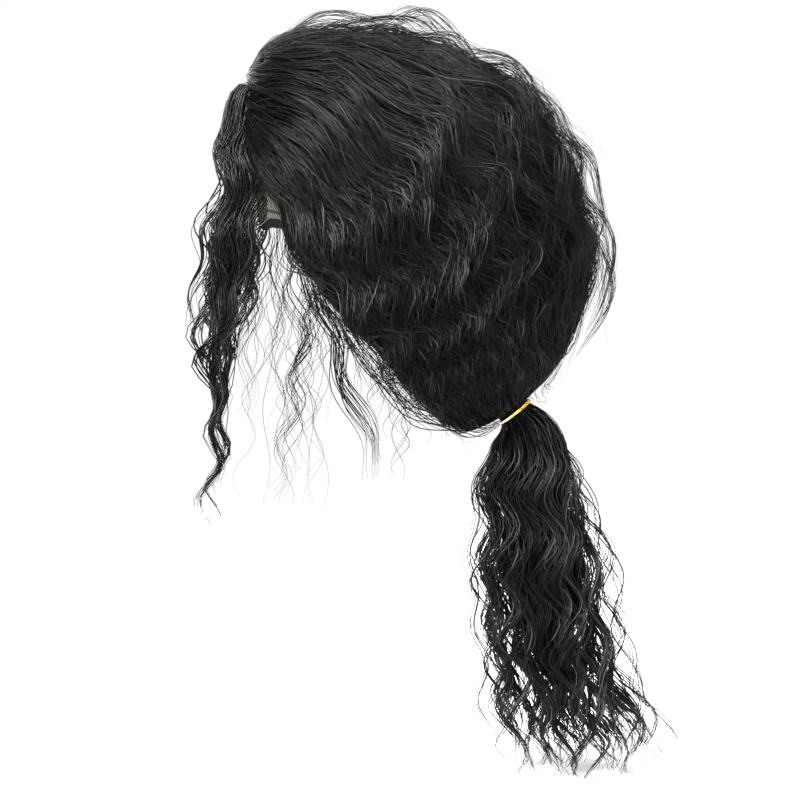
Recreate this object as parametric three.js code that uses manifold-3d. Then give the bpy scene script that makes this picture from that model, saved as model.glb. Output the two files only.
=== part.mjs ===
// A curly costume wig with a low ponytail, as worn: the hair is parted at the front, swept back
// over the crown and gathered at the nape in an elastic tie.
// Millimetres, +Z up. The origin is the inside top of the cap, where the wearer's crown touches it.
// The face opening looks along -Y, and +X is the wearer's left.
import * as THREE from "three";
import { mergeVertices } from "three/addons/utils/BufferGeometryUtils.js";
import Module from "manifold-3d";

const wasm = await Module();
wasm.setup();

const { degToRad, radToDeg, lerp, smoothstep } = THREE.MathUtils;

// Head that the cap fits
const headLength = 190;
const headBreadth = 152;
const crownHeight = 100; // from the crown down to the head's widest level
const napeHeight = 118; // from the widest level down to where the form closes
const headFullness = 2.3; // exponent of the form's superellipsoid

// Cap and its edge band
const capWall = 1.6;
const bandHeight = 6.5;
const seamGap = 0.4; // clear space between neighbouring pieces

// Hair around the cap
const topLoft = 16.5; // hair above the crown
const backLoft = 57; // hair behind the head
const sideLoft = 19; // hair beside the head
const centreDrop = 39.5; // the hair's centre, below the head's widest level
const flowTilt = degToRad(51.4); // from horizontal, the line from the hairline to the tie
const hairFullness = 2.25; // exponent of the section across the hair
const ridgeHeight = 4.5; // a lock's crest above the grooves beside it
const lockSway = 4.5; // how far a lock waves to each side
const waveLength = 56;
const lipDrop = 4; // the swept hair's edge, above the side hair
const neckBack = 45; // clear of the back of the neck
const neckHalf = 58;

// Tie and ponytail
const tieRadius = 13.3; // centreline of the elastic
const tieThickness = 1.8;
const tieDraw = 2.4; // how far the tie draws in the hair that it gathers
const tailLength = 243; // from the tie down to the lowest tip
const tailDepth = 86; // front to back where it is fullest
const tailBreadth = 70;
const tailRidge = 5;
const tailWave = 52;

// Forelocks
const foreLength = 292; // from the hairline down to the tip
const foreWidth = 36;
const foreThickness = 15;
const foreOut = 47; // sideways from the middle
const foreDrop = 32.5; // from the crown down to the forelock's root
const foreTurn = 76; // length over which its locks wind once round each other

// Derived places
const halfLength = headLength / 2;
const halfBreadth = headBreadth / 2;
const hairCentre = new THREE.Vector3(0, 0, -crownHeight - centreDrop);
const reachBack = halfLength + capWall + backLoft;
const reachUp = crownHeight + centreDrop + capWall + topLoft;
const reachSide = halfBreadth + capWall + sideLoft;

// The line from the hairline (front pole) to the tie (back pole), and the way up from it
const flowAxis = new THREE.Vector3(0, Math.cos(flowTilt), -Math.sin(flowTilt));
const flowUp = new THREE.Vector3(0, Math.sin(flowTilt), Math.cos(flowTilt));
const sideways = new THREE.Vector3(1, 0, 0);

// Outline of the hair from the side, round its centre from the front pole over the top to the tie.
// reach is a share of the hair's reach, and width a share of its half breadth.
const OUTLINE = [
  { turn: 0, reach: 1.0, width: 0.93 },
  { turn: 8, reach: 1.045, width: 0.94 },
  { turn: 22, reach: 1.05, width: 0.95 },
  { turn: 35, reach: 1.01, width: 0.97 },
  { turn: 48, reach: 1.005, width: 0.99 },
  { turn: 60, reach: 0.975, width: 1.0 },
  { turn: 75, reach: 0.985, width: 1.0 },
  { turn: 90, reach: 0.968, width: 0.99 },
  { turn: 102, reach: 0.982, width: 0.97 },
  { turn: 114, reach: 0.962, width: 0.95 },
  { turn: 128, reach: 1.0, width: 0.9 },
  { turn: 142, reach: 0.985, width: 0.84 },
  { turn: 153, reach: 0.95, width: 0.79 },
  { turn: 165, reach: 0.95, width: 0.76 },
  { turn: 180, reach: 0.94, width: 0.75 },
  { turn: 200, reach: 0.9, width: 0.79 },
  { turn: 230, reach: 0.9, width: 0.87 },
  { turn: 270, reach: 0.8, width: 0.93 },
  { turn: 300, reach: 0.66, width: 0.96 },
  { turn: 325, reach: 0.7, width: 0.97 },
  { turn: 341, reach: 0.8, width: 0.96 },
  { turn: 348, reach: 0.885, width: 0.94 },
  { turn: 355, reach: 0.96, width: 0.93 },
  { turn: 360, reach: 1.0, width: 0.93 },
];

// Lower rim of the cap, from the middle of the forehead round to the middle of the nape.
// drop is a share of the crown height: hairline, temple tab, over the ear, nape.
const RIM = [
  { bearing: 0, drop: 0.37 },
  { bearing: 12, drop: 0.44 },
  { bearing: 24, drop: 1.12 },
  { bearing: 34, drop: 1.16 },
  { bearing: 48, drop: 1.165 },
  { bearing: 62, drop: 1.12 },
  { bearing: 80, drop: 1.02 },
  { bearing: 98, drop: 1.05 },
  { bearing: 118, drop: 1.42 },
  { bearing: 140, drop: 1.67 },
  { bearing: 180, drop: 1.71 },
];

// Edge of the side hair, seen from the side: back is a share of half the head's length,
// and drop a share of the crown height.
const SIDE_EDGE = [
  { back: -1.3, drop: 0.92 },
  { back: -0.99, drop: 0.93 },
  { back: -0.78, drop: 0.95 },
  { back: -0.73, drop: 1.26 },
  { back: -0.5, drop: 1.62 },
  { back: -0.26, drop: 1.92 },
  { back: 0.0, drop: 2.16 },
  { back: 0.2, drop: 2.42 },
  { back: 0.42, drop: 2.57 },
  { back: 0.72, drop: 2.68 },
  { back: 0.72, drop: 3.6 },
  { back: -1.3, drop: 3.6 },
];

// Curtain of hair over the forehead, seen from the front: out is a share of half the head's
// breadth, and drop a share of the crown height.
const CURTAIN = [
  { out: 0, drop: 0.37 },
  { out: 0.25, drop: 0.45 },
  { out: 0.48, drop: 0.66 },
  { out: 0.64, drop: 0.95 },
  { out: 0.66, drop: 3.6 },
];

// Locks that stand clear of the swept hair: psi is the angle from the middle, from and to are
// along the flow, lift is the height of the arch and tip the height of the free end.
const LOOSE_LOCKS = [
  { psi: 4, from: 13, to: 37, lift: 7, tip: -4, width: 16 },
  { psi: -5, from: 38, to: 59, lift: 9, tip: -4, width: 14 },
  { psi: 24, from: 50, to: 92, lift: 7, tip: -4, width: 17 },
  { psi: -22, from: 62, to: 98, lift: 7, tip: -4, width: 16 },
  { psi: 6, from: 88, to: 124, lift: 6, tip: 2, width: 15 },
  { psi: -9, from: 110, to: 146, lift: 4, tip: 7, width: 14 },
];

// Ponytail: fall is a share of its length, back is the centre's way back as a share of its
// depth, and girth a share of its depth and breadth.
const TAIL = [
  { fall: 0.0, back: 0.0, girth: 0.29 },
  { fall: 0.04, back: 0.1, girth: 0.5 },
  { fall: 0.12, back: 0.11, girth: 0.68 },
  { fall: 0.22, back: 0.09, girth: 0.77 },
  { fall: 0.34, back: 0.17, girth: 0.89 },
  { fall: 0.46, back: 0.185, girth: 0.96 },
  { fall: 0.58, back: 0.25, girth: 1.0 },
  { fall: 0.7, back: 0.3, girth: 0.97 },
  { fall: 0.8, back: 0.37, girth: 0.9 },
  { fall: 0.88, back: 0.435, girth: 0.78 },
  { fall: 0.94, back: 0.46, girth: 0.56 },
];

// Tapered ends of the ponytail: out and back are shares of its half breadth and half depth
// where the end leaves the tail, reach is the share of the tail's length at its tip, curl is
// how far the tip swings back as a share of the depth, and girth is a share of the depth.
const TAIL_TIPS = [
  { out: -0.2, back: -0.62, reach: 0.95, curl: 0.02, girth: 0.26 },
  { out: 0.45, back: -0.3, reach: 0.985, curl: 0.0, girth: 0.3 },
  { out: -0.5, back: -0.15, reach: 1.0, curl: 0.02, girth: 0.3 },
  { out: 0.05, back: 0.0, reach: 1.02, curl: 0.04, girth: 0.34 },
  { out: 0.5, back: 0.25, reach: 1.0, curl: 0.1, girth: 0.3 },
  { out: -0.35, back: 0.4, reach: 0.965, curl: 0.18, girth: 0.28 },
  { out: 0.1, back: 0.45, reach: 0.965, curl: 0.5, girth: 0.2 },
];

// A forelock's course: fall is a share of its length, front and out are shares of its width
// away from the line it hangs on, and girth is a share of its width.
const FORELOCK = [
  { fall: 0.0, front: 0.05, out: -0.66, girth: 0.62 },
  { fall: 0.1, front: 0.15, out: -0.3, girth: 0.9 },
  { fall: 0.24, front: 0.2, out: 0.05, girth: 1.05 },
  { fall: 0.36, front: 0.4, out: 0.15, girth: 1.28 },
  { fall: 0.46, front: 0.38, out: 0.05, girth: 1.18 },
  { fall: 0.56, front: 0.64, out: 0.2, girth: 0.92 },
  { fall: 0.65, front: 0.58, out: 0.05, girth: 0.68 },
  { fall: 0.72, front: 0.58, out: 0.15, girth: 0.38 },
  { fall: 0.8, front: 0.62, out: 0.0, girth: 0.27 },
  { fall: 0.88, front: 0.5, out: 0.1, girth: 0.25 },
  { fall: 0.95, front: 0.78, out: 0.0, girth: 0.2 },
  { fall: 1.0, front: 0.68, out: 0.05, girth: 0.06 },
];

// Value of one column of a table at a place between its rows, on a smooth curve
function column(table, key, name, at) {
  let i = 1;
  while (i < table.length - 1 && table[i][key] < at) i += 1;
  const [before, a, b, after] = [
    table[Math.max(i - 2, 0)],
    table[i - 1],
    table[i],
    table[Math.min(i + 1, table.length - 1)],
  ];
  const span = b[key] - a[key];
  const t = THREE.MathUtils.clamp((at - a[key]) / span, 0, 1);
  const slopeA = ((b[name] - before[name]) / (b[key] - before[key])) * span;
  const slopeB = ((after[name] - a[name]) / (after[key] - a[key])) * span;
  const t2 = t * t;
  const t3 = t2 * t;
  return (
    (2 * t3 - 3 * t2 + 1) * a[name] +
    (t3 - 2 * t2 + t) * slopeA +
    (3 * t2 - 2 * t3) * b[name] +
    (t3 - t2) * slopeB
  );
}

// Distance along a line at which a growing measure reaches 1
function distanceWhere(measure, longest) {
  let low = 0;
  let high = longest;
  for (let step = 0; step < 30; step += 1) {
    const middle = (low + high) / 2;
    if (measure(middle) < 1) low = middle;
    else high = middle;
  }
  return (low + high) / 2;
}

// A geometry from points and triangles, and a solid from it
function solidFrom(points, triangles) {
  const geometry = new THREE.BufferGeometry();
  geometry.setAttribute(
    "position",
    new THREE.Float32BufferAttribute(points.flatMap((p) => p.toArray()), 3),
  );
  geometry.setIndex(triangles.flat());
  const merged = mergeVertices(geometry, 1e-4);
  return new wasm.Manifold(
    new wasm.Mesh({
      numProp: 3,
      vertProperties: merged.attributes.position.array,
      triVerts: new Uint32Array(merged.index.array),
    }),
  );
}

// Two triangles across four points in order round a patch, split along the shorter diagonal
function quad(points, a, b, c, d) {
  const short = points[a].distanceTo(points[c]) <= points[b].distanceTo(points[d]);
  return short
    ? [
        [a, b, c],
        [a, c, d],
      ]
    : [
        [a, b, d],
        [b, c, d],
      ];
}

// Closed solid through rings of points, with a pole point before the first and after the last
function ringSolid(rings, firstPole, lastPole) {
  const count = rings[0].length;
  const points = [...rings.flat(), firstPole, lastPole];
  const first = points.length - 2;
  const last = points.length - 1;
  const triangles = [];
  for (let j = 0; j < count; j += 1) {
    const k = (j + 1) % count;
    const end = (rings.length - 1) * count;
    triangles.push([first, k, j], [last, end + j, end + k]);
    for (let i = 0; i < rings.length - 1; i += 1) {
      const [a, b] = [i * count + j, i * count + k];
      triangles.push(...quad(points, a, b, b + count, a + count));
    }
  }
  return outward(solidFrom(points, triangles), points, triangles);
}

// The same solid, with its faces turned round if they point inwards
function outward(solid, points, triangles) {
  return solid.volume() >= 0
    ? solid
    : solidFrom(points, triangles.map(([a, b, c]) => [a, c, b]));
}

// Closed solid between an open patch of points and one point behind it
function coneSolid(patch, apex) {
  const columns = patch[0].length;
  const points = [...patch.flat(), apex];
  const tip = points.length - 1;
  const at = (i, j) => i * columns + j;
  const triangles = [];
  for (let i = 0; i < patch.length - 1; i += 1) {
    for (let j = 0; j < columns - 1; j += 1) {
      const corners = [at(i, j), at(i, j + 1), at(i + 1, j + 1), at(i + 1, j)];
      triangles.push(...quad(points, ...corners));
    }
    triangles.push([at(i + 1, 0), tip, at(i, 0)]);
    triangles.push([at(i, columns - 1), tip, at(i + 1, columns - 1)]);
  }
  const bottom = patch.length - 1;
  for (let j = 0; j < columns - 1; j += 1) {
    triangles.push([at(0, j), tip, at(0, j + 1)]);
    triangles.push([at(bottom, j + 1), tip, at(bottom, j)]);
  }
  return outward(solidFrom(points, triangles), points, triangles);
}

// Closed solid of a flattened lock along a path, pointed at both ends
function lockSolid({ path, width, thickness, flat, sides }) {
  const rings = path.slice(1, -1).map((centre, i) => {
    const along = path[i + 2].clone().sub(path[i]).normalize();
    const across = flat(i + 1).clone().cross(along).normalize();
    const out = along.clone().cross(across).normalize();
    return Array.from({ length: sides }, (_, j) => {
      const turn = (2 * Math.PI * j) / sides;
      return centre
        .clone()
        .addScaledVector(across, (Math.cos(turn) * width(i + 1)) / 2)
        .addScaledVector(out, (Math.sin(turn) * thickness(i + 1)) / 2);
    });
  });
  return ringSolid(rings, path[0], path[path.length - 1]);
}

// Prism along an axis through an outline given in the other two
function prism(outline, depth, place) {
  const shape = new THREE.Shape(outline);
  const geometry = new THREE.ExtrudeGeometry(shape, {
    depth,
    bevelEnabled: false,
  });
  geometry.applyMatrix4(place);
  geometry.deleteAttribute("normal");
  geometry.deleteAttribute("uv");
  const merged = mergeVertices(geometry, 1e-4);
  return new wasm.Manifold(
    new wasm.Mesh({
      numProp: 3,
      vertProperties: merged.attributes.position.array,
      triVerts: new Uint32Array(merged.index.array),
    }),
  );
}

// Point on the head form, grown by an amount, in the direction given by a bearing from the
// face and an angle down from the crown
function formPoint(bearing, fromCrown, growth) {
  const direction = new THREE.Vector3(
    Math.sin(fromCrown) * Math.sin(bearing),
    -Math.sin(fromCrown) * Math.cos(bearing),
    Math.cos(fromCrown),
  );
  const height = (direction.z > 0 ? crownHeight : napeHeight) + growth;
  const measure =
    Math.abs(direction.x / (halfBreadth + growth)) ** headFullness +
    Math.abs(direction.y / (halfLength + growth)) ** headFullness +
    Math.abs(direction.z / height) ** headFullness;
  const point = direction.multiplyScalar(measure ** (-1 / headFullness));
  point.z -= crownHeight;
  return point;
}

// Angle down from the crown at which the form has fallen by a drop
function angleAtDrop(bearing, drop) {
  return (
    distanceWhere(
      (share) => -formPoint(bearing, share * Math.PI, 0).z / drop,
      0.98,
    ) * Math.PI
  );
}

const capColumns = 36;
const capRows = 6;
const capBearings = Array.from(
  { length: capColumns },
  (_, j) => (2 * Math.PI * j) / capColumns,
);
const rimAngles = capBearings.map((bearing) => {
  const fromFace = Math.abs(((radToDeg(bearing) + 180) % 360) - 180);
  const drop = column(RIM, "bearing", "drop", fromFace) * crownHeight;
  return angleAtDrop(bearing, drop);
});
const bandAngle = bandHeight / ((halfLength + crownHeight) / 2);
const gapAngle = seamGap / ((halfLength + crownHeight) / 2);

// Wall between the form's surface and that surface grown, from one angle to another
function formWall(startAngles, endAngles, rows, inner, outer) {
  const ring = (share, growth) =>
    capBearings.map((bearing, j) =>
      formPoint(bearing, lerp(startAngles[j], endAngles[j], share), growth),
    );
  const steps = Array.from({ length: rows + 1 }, (_, i) => i / rows);
  return [
    ...steps.map((share) => ring(share, outer)),
    ...steps.reverse().map((share) => ring(share, inner)),
  ];
}

// Net cap that the hair is sewn to
function makeCap() {
  const crown = capBearings.map(() => degToRad(9));
  const rings = formWall(crown, rimAngles, capRows, 0, capWall);
  return ringSolid(
    rings,
    new THREE.Vector3(0, 0, capWall),
    new THREE.Vector3(0, 0, 0),
  );
}

// Elastic band below the cap's rim
function makeBand() {
  const start = rimAngles.map((angle) => angle + gapAngle);
  const end = rimAngles.map((angle) => angle + gapAngle + bandAngle);
  const rings = formWall(start, end, 1, 0, capWall);
  return loopSolid(rings);
}

// Closed solid of rings that follow each other round and meet again
function loopSolid(rings) {
  const count = rings[0].length;
  const points = rings.flat();
  const triangles = [];
  for (let i = 0; i < rings.length; i += 1) {
    const next = ((i + 1) % rings.length) * count;
    for (let j = 0; j < count; j += 1) {
      const k = (j + 1) % count;
      triangles.push(...quad(points, i * count + j, i * count + k, next + k, next + j));
    }
  }
  return outward(solidFrom(points, triangles), points, triangles);
}

// The head with its cap and band, as a solid to keep the hair clear of
function makeHeadClearance() {
  const growth = capWall + seamGap;
  const crown = capBearings.map(() => degToRad(9));
  const bandEnd = rimAngles.map((angle) => angle + gapAngle + bandAngle);
  const chin = capBearings.map(() => degToRad(165));
  const ring = (from, to, share) =>
    capBearings.map((bearing, j) =>
      formPoint(bearing, lerp(from[j], to[j], share), growth),
    );
  const above = Array.from({ length: capRows + 1 }, (_, i) =>
    ring(crown, rimAngles, i / capRows),
  );
  const below = Array.from({ length: 5 }, (_, i) => ring(bandEnd, chin, i / 4));
  return ringSolid(
    [...above, ...below],
    new THREE.Vector3(0, 0, growth),
    new THREE.Vector3(0, 0, -crownHeight - napeHeight - growth),
  );
}

// Jaw and neck below the head, which the hair hangs round
function makeNeckClearance() {
  const sides = 20;
  const front = -halfLength;
  const ring = (z) =>
    Array.from({ length: sides }, (_, j) => {
      const turn = (2 * Math.PI * j) / sides;
      return new THREE.Vector3(
        neckHalf * Math.sin(turn),
        (front + neckBack) / 2 - ((neckBack - front) / 2) * Math.cos(turn),
        z,
      );
    });
  const low = -crownHeight * 4;
  return ringSolid(
    [ring(-crownHeight), ring(low)],
    new THREE.Vector3(0, (front + neckBack) / 2, -crownHeight),
    new THREE.Vector3(0, (front + neckBack) / 2, low),
  );
}

// Face opening: everything in front of the side hair's edge and under the curtain
function makeFaceOpening() {
  const wide = reachSide * 3;
  const side = SIDE_EDGE.map(
    ({ back, drop }) => new THREE.Vector2(back * halfLength, -drop * crownHeight),
  );
  side[0].x = -reachBack * 1.5;
  side[side.length - 1].x = -reachBack * 1.5;
  // Local x runs along Y, local y along Z and the depth along X
  const fromSide = new THREE.Matrix4()
    .makeBasis(
      new THREE.Vector3(0, 1, 0),
      new THREE.Vector3(0, 0, 1),
      new THREE.Vector3(1, 0, 0),
    )
    .setPosition(-wide / 2, 0, 0);
  const right = CURTAIN.map(
    ({ out, drop }) => new THREE.Vector2(out * halfBreadth, -drop * crownHeight),
  );
  const left = right
    .slice(1)
    .reverse()
    .map((point) => new THREE.Vector2(-point.x, point.y));
  const fromFront = new THREE.Matrix4()
    .makeBasis(
      new THREE.Vector3(1, 0, 0),
      new THREE.Vector3(0, 0, 1),
      new THREE.Vector3(0, -1, 0),
    )
    .setPosition(0, -halfLength * 0.5, 0);
  return prism(side, wide, fromSide).add(
    prism([...right, ...left], reachBack, fromFront),
  );
}

// Direction from the hair's centre, along the flow from the front pole and round it from the
// middle of the crown
function flowDirection(along, psi) {
  return flowAxis
    .clone()
    .multiplyScalar(-Math.cos(along))
    .addScaledVector(flowUp, Math.sin(along) * Math.cos(psi))
    .addScaledVector(sideways, Math.sin(along) * Math.sin(psi));
}

// Distance from the hair's centre to its smooth outer surface in a direction
function hairReach(direction) {
  return distanceWhere((distance) => {
    const y = (direction.y * distance) / reachBack;
    const z = (direction.z * distance) / reachUp;
    const turn = (radToDeg(Math.PI - flowTilt - Math.atan2(z, y)) + 360) % 360;
    const share = Math.hypot(y, z) / column(OUTLINE, "turn", "reach", turn);
    const narrow = column(OUTLINE, "turn", "width", turn);
    const width = reachSide * lerp(1, narrow, Math.min(share, 1) ** 2);
    const across = Math.abs(direction.x * distance) / width;
    return share ** hairFullness + across ** hairFullness;
  }, reachBack * 2);
}

const tieReach = hairReach(flowAxis) - tieDraw;
const gatherAngle = Math.PI - Math.asin((tieRadius - tieThickness / 2) / tieReach);
const firstAngle = degToRad(1.4);

// How far a lock's wave carries it to the side, at a place along and round the flow
function swayAt(along, psi, radius) {
  const phase = 2.4 * psi + 0.9 * Math.sin(3 * psi + 1);
  const wave = (2 * Math.PI * radius * along) / waveLength + phase;
  return lockSway * Math.sin(along) * Math.sin(wave) * smoothstep(Math.PI - Math.abs(psi), 0, 0.5);
}

// Angle round the flow of the swept hair's edge, which widens towards the hairline
function sweptEdge(along) {
  return degToRad(47) + degToRad(22) * (1 - smoothstep(along, degToRad(8), degToRad(40)));
}

// How much of the lip's drop applies at an angle round the flow: all of it at the swept edge
function lipShare(psi) {
  const edge = sweptEdge(Math.PI / 2);
  return 1 - smoothstep(Math.abs(psi), edge, edge + degToRad(34));
}

// Grooves and crests across a body of hair, as shares of its width, with an edge at each end
function lockColumns(locks) {
  const columns = Array.from({ length: locks }, (_, lock) => [
    { at: lock / locks, crest: 0 },
    { at: (lock + 0.3) / locks, crest: 0.95 + 0.1 * Math.sin(lock * 2.4) },
    { at: (lock + 0.68) / locks, crest: 0.8 + 0.15 * Math.cos(lock * 3.1) },
  ]);
  return [...columns.flat(), { at: 1, crest: 0 }];
}

// One body of hair between two angles round the flow, in waving locks with grooves between.
// inset is which way its edges draw back from a neighbour's: 1, -1 or 0, and room is clear
// space added to its surface.
function makeHairBody({ fromPsi, toPsi, locks, rows, lip, inset }, room = 0) {
  const patch = Array.from({ length: rows + 1 }, (_, i) => {
    const along = lerp(firstAngle, gatherAngle, i / rows);
    const fade = Math.sin(along) ** 0.7;
    return lockColumns(locks).map(({ at, crest }, j, all) => {
      const flat = lerp(fromPsi(along), toPsi(along), at);
      const radius = hairReach(flowDirection(along, flat));
      const round = radius * Math.sin(along);
      const side = j === 0 ? inset[0] : j === all.length - 1 ? inset[1] : 0;
      const seam = side * seamGap * 0.75;
      const psi = flat + (swayAt(along, flat, radius) + seam) / round;
      const swell = 0.85 + 0.15 * Math.sin((4 * Math.PI * radius * along) / waveLength);
      const raised = crest * fade * ridgeHeight * swell;
      const lowered = lip * lipDrop * fade * lipShare(flat);
      const direction = flowDirection(along, psi);
      const height = hairReach(direction) - ridgeHeight + raised - lowered + room;
      return hairCentre.clone().addScaledVector(direction, height);
    });
  });
  return coneSolid(patch, hairCentre.clone());
}

// Wavy path of a lock that rises from the swept hair and sinks or ends free
function looseLock({ psi, from, to, lift, tip, width }) {
  const steps = 9;
  const path = Array.from({ length: steps + 1 }, (_, i) => {
    const share = i / steps;
    const along = degToRad(lerp(from, to, share));
    const turn = degToRad(psi + 4 * Math.sin(share * 2 * Math.PI));
    const direction = flowDirection(along, turn);
    const height = lift * Math.sin(Math.PI * share) + lerp(-4, tip, share);
    return hairCentre.clone().addScaledVector(direction, hairReach(direction) + height);
  });
  const girth = (i) => width * Math.sin(Math.PI * lerp(0.12, 0.95, i / steps));
  return lockSolid({
    path,
    width: girth,
    thickness: (i) => girth(i) * 0.4,
    flat: (i) => path[i].clone().sub(hairCentre).normalize(),
    sides: 5,
  });
}

const SWEPT = {
  fromPsi: (along) => -sweptEdge(along),
  toPsi: sweptEdge,
  locks: 8,
  rows: 31,
  lip: 0,
  inset: [1, -1],
};
const LEFT = {
  fromPsi: sweptEdge,
  toPsi: () => Math.PI,
  locks: 7,
  rows: 31,
  lip: 1,
  inset: [1, -1],
};
const RIGHT = {
  ...LEFT,
  fromPsi: (along) => -sweptEdge(along),
  toPsi: () => -Math.PI,
  inset: [-1, 1],
};

// The three bodies of hair, clear of the head, the neck and the face opening
function makeHair() {
  const clear = makeHeadClearance().add(makeNeckClearance()).add(makeFaceOpening());
  const swept = LOOSE_LOCKS.map(looseLock).reduce(
    (body, lock) => body.add(lock),
    makeHairBody(SWEPT),
  );
  return {
    swept_crown_hair: swept.subtract(clear),
    left_side_hair: makeHairBody(LEFT).subtract(clear),
    right_side_hair: makeHairBody(RIGHT).subtract(clear),
  };
}

const tieCentre = hairCentre
  .clone()
  .addScaledVector(flowAxis, tieReach + tieThickness / 2 + seamGap);

// Elastic ring round the neck of the ponytail
function makeTie() {
  const round = 22;
  const sides = 5;
  const rings = Array.from({ length: sides }, (_, i) => {
    const section = (2 * Math.PI * i) / sides;
    const radius = tieRadius + (tieThickness / 2) * Math.cos(section);
    const offset = (tieThickness / 2) * Math.sin(section);
    return Array.from({ length: round }, (_, j) => {
      const turn = (2 * Math.PI * j) / round;
      return tieCentre
        .clone()
        .addScaledVector(sideways, radius * Math.sin(turn))
        .addScaledVector(flowUp, radius * Math.cos(turn))
        .addScaledVector(flowAxis, offset);
    });
  });
  return loopSolid(rings);
}

// Ponytail: a gathered root inside the hair, a neck in the tie, and a hanging body in locks
function makeTail() {
  const locks = 8;
  const rows = 22;
  const steps = locks * 3;
  const neck = tieRadius - tieThickness / 2 - seamGap;
  const root = [0.62, 0.97].map((share) =>
    ringAcross(
      hairCentre.clone().addScaledVector(flowAxis, tieReach * share),
      tieReach * share * Math.tan(Math.PI - gatherAngle) - seamGap * 1.5,
      steps,
    ),
  );
  const lastFall = TAIL[TAIL.length - 1].fall;
  const hanging = Array.from({ length: rows }, (_, i) =>
    tailRing(((i + 1) / rows) * lastFall, neck, locks),
  );
  const start = hairCentre.clone().addScaledVector(flowAxis, tieReach * 0.6);
  const foot = tailCentre(lastFall);
  foot.z -= tailRidge;
  const body = ringSolid([...root, ringAcross(tieCentre, neck, steps), ...hanging], start, foot);
  return TAIL_TIPS.map(tailTip).reduce((joined, tip) => joined.add(tip), body);
}

// Middle of the ponytail at a share of its length
function tailCentre(fall) {
  const back = column(TAIL, "fall", "back", fall) * tailDepth;
  return new THREE.Vector3(0, tieCentre.y + back, tieCentre.z - fall * tailLength);
}

// Section of the hanging ponytail, waving locks with grooves between them
function tailRing(fall, neck, locks) {
  const steps = locks * 3;
  const girth = column(TAIL, "fall", "girth", fall);
  const crests = [0, 1, 0.8];
  const loose = smoothstep(fall, 0, 0.09);
  const lengthwise = new THREE.Vector3(0, 1, 0).lerp(flowUp, 1 - loose).normalize();
  const wave = (2 * Math.PI * fall * tailLength) / tailWave;
  return Array.from({ length: steps }, (_, j) => {
    const lift = (crests[j % 3] - 1) * tailRidge * smoothstep(fall, 0, 0.1);
    const share = j / steps;
    const sway = 0.15 * loose * Math.sin(wave + 2 * Math.PI * share * 2);
    const turn = 2 * Math.PI * share + sway;
    const depth = Math.max((girth * tailDepth) / 2, neck) + lift;
    const breadth = Math.max((girth * tailBreadth) / 2, neck) + lift;
    return tailCentre(fall)
      .addScaledVector(lengthwise, depth * Math.cos(turn))
      .addScaledVector(sideways, breadth * Math.sin(turn));
  });
}

// Ring of points round the flow axis
function ringAcross(centre, radius, steps) {
  return Array.from({ length: steps }, (_, j) => {
    const turn = (2 * Math.PI * j) / steps;
    return centre
      .clone()
      .addScaledVector(flowUp, radius * Math.cos(turn))
      .addScaledVector(sideways, radius * Math.sin(turn));
  });
}

// One tapered end of the ponytail, waving down and back
function tailTip({ out, back, reach, curl, girth: fullest }) {
  const steps = 10;
  const lastFall = TAIL[TAIL.length - 1].fall;
  const path = Array.from({ length: steps + 1 }, (_, i) => {
    const share = i / steps;
    const fall = lerp(0.74, reach, share);
    const wave = 3.5 * Math.sin((2 * Math.PI * fall * tailLength) / tailWave + out * 5);
    const point = tailCentre(Math.min(fall, lastFall));
    point.x += (out * tailBreadth) / 2 + wave * 0.7;
    point.y += (back * tailDepth) / 2 + share * share * curl * tailDepth + wave;
    point.z = tieCentre.z - fall * tailLength;
    return point;
  });
  const girth = (i) => fullest * tailDepth * Math.sqrt(1.02 - (i / steps) ** 2);
  return lockSolid({
    path,
    width: girth,
    thickness: (i) => girth(i) * 0.62,
    flat: () => sideways,
    sides: 5,
  });
}

// A forelock on one side, seated on the hair behind it: a broad wavy lock with a thinner one
// winding round it
function makeForelock(side, behind) {
  const hangFront = halfLength + capWall;
  const strand = ({ spread, twist, share, reach, steps }) => {
    const girthAt = (i) =>
      column(FORELOCK, "fall", "girth", (i / steps) * reach) * foreWidth;
    const path = Array.from({ length: steps + 1 }, (_, i) => {
      const fall = (i / steps) * reach;
      const front = column(FORELOCK, "fall", "front", fall) * foreWidth;
      const out = column(FORELOCK, "fall", "out", fall) * foreWidth;
      const turn = twist + (2 * Math.PI * fall * foreLength) / foreTurn;
      const apart = Math.min(spread * girthAt(i), foreThickness / 2);
      return new THREE.Vector3(
        side * (foreOut + out + apart * Math.sin(turn)),
        -hangFront - front + spread * girthAt(i) * Math.cos(turn),
        -foreDrop - fall * foreLength,
      );
    });
    return lockSolid({
      path,
      width: (i) => girthAt(i) * share,
      thickness: (i) => Math.min(girthAt(i) * share * 0.6, foreThickness),
      flat: () => sideways,
      sides: 5,
    });
  };
  const broad = strand({ spread: 0.14, twist: 0, share: 0.68, reach: 1, steps: 25 });
  const slim = strand({ spread: 0.26, twist: Math.PI, share: 0.46, reach: 0.84, steps: 21 });
  return broad
    .add(slim)
    .subtract(makeHairBody(behind, seamGap))
    .subtract(makeHairBody(SWEPT, seamGap));
}

// The largest connected body of a solid
function mainBody(solid) {
  const bodies = solid.decompose();
  return bodies.reduce((best, body) => (body.volume() > best.volume() ? body : best));
}

// Mesh for the scene graph, with its own material
function piece(name, solid, { colour, roughness }) {
  const { vertProperties, triVerts } = mainBody(solid).getMesh();
  const geometry = new THREE.BufferGeometry();
  geometry.setAttribute("position", new THREE.BufferAttribute(vertProperties, 3));
  geometry.setIndex(new THREE.BufferAttribute(triVerts, 1));
  geometry.computeVertexNormals();
  const material = new THREE.MeshStandardMaterial({ color: colour, roughness, metalness: 0 });
  const mesh = new THREE.Mesh(geometry, material);
  mesh.name = name;
  return mesh;
}

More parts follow.
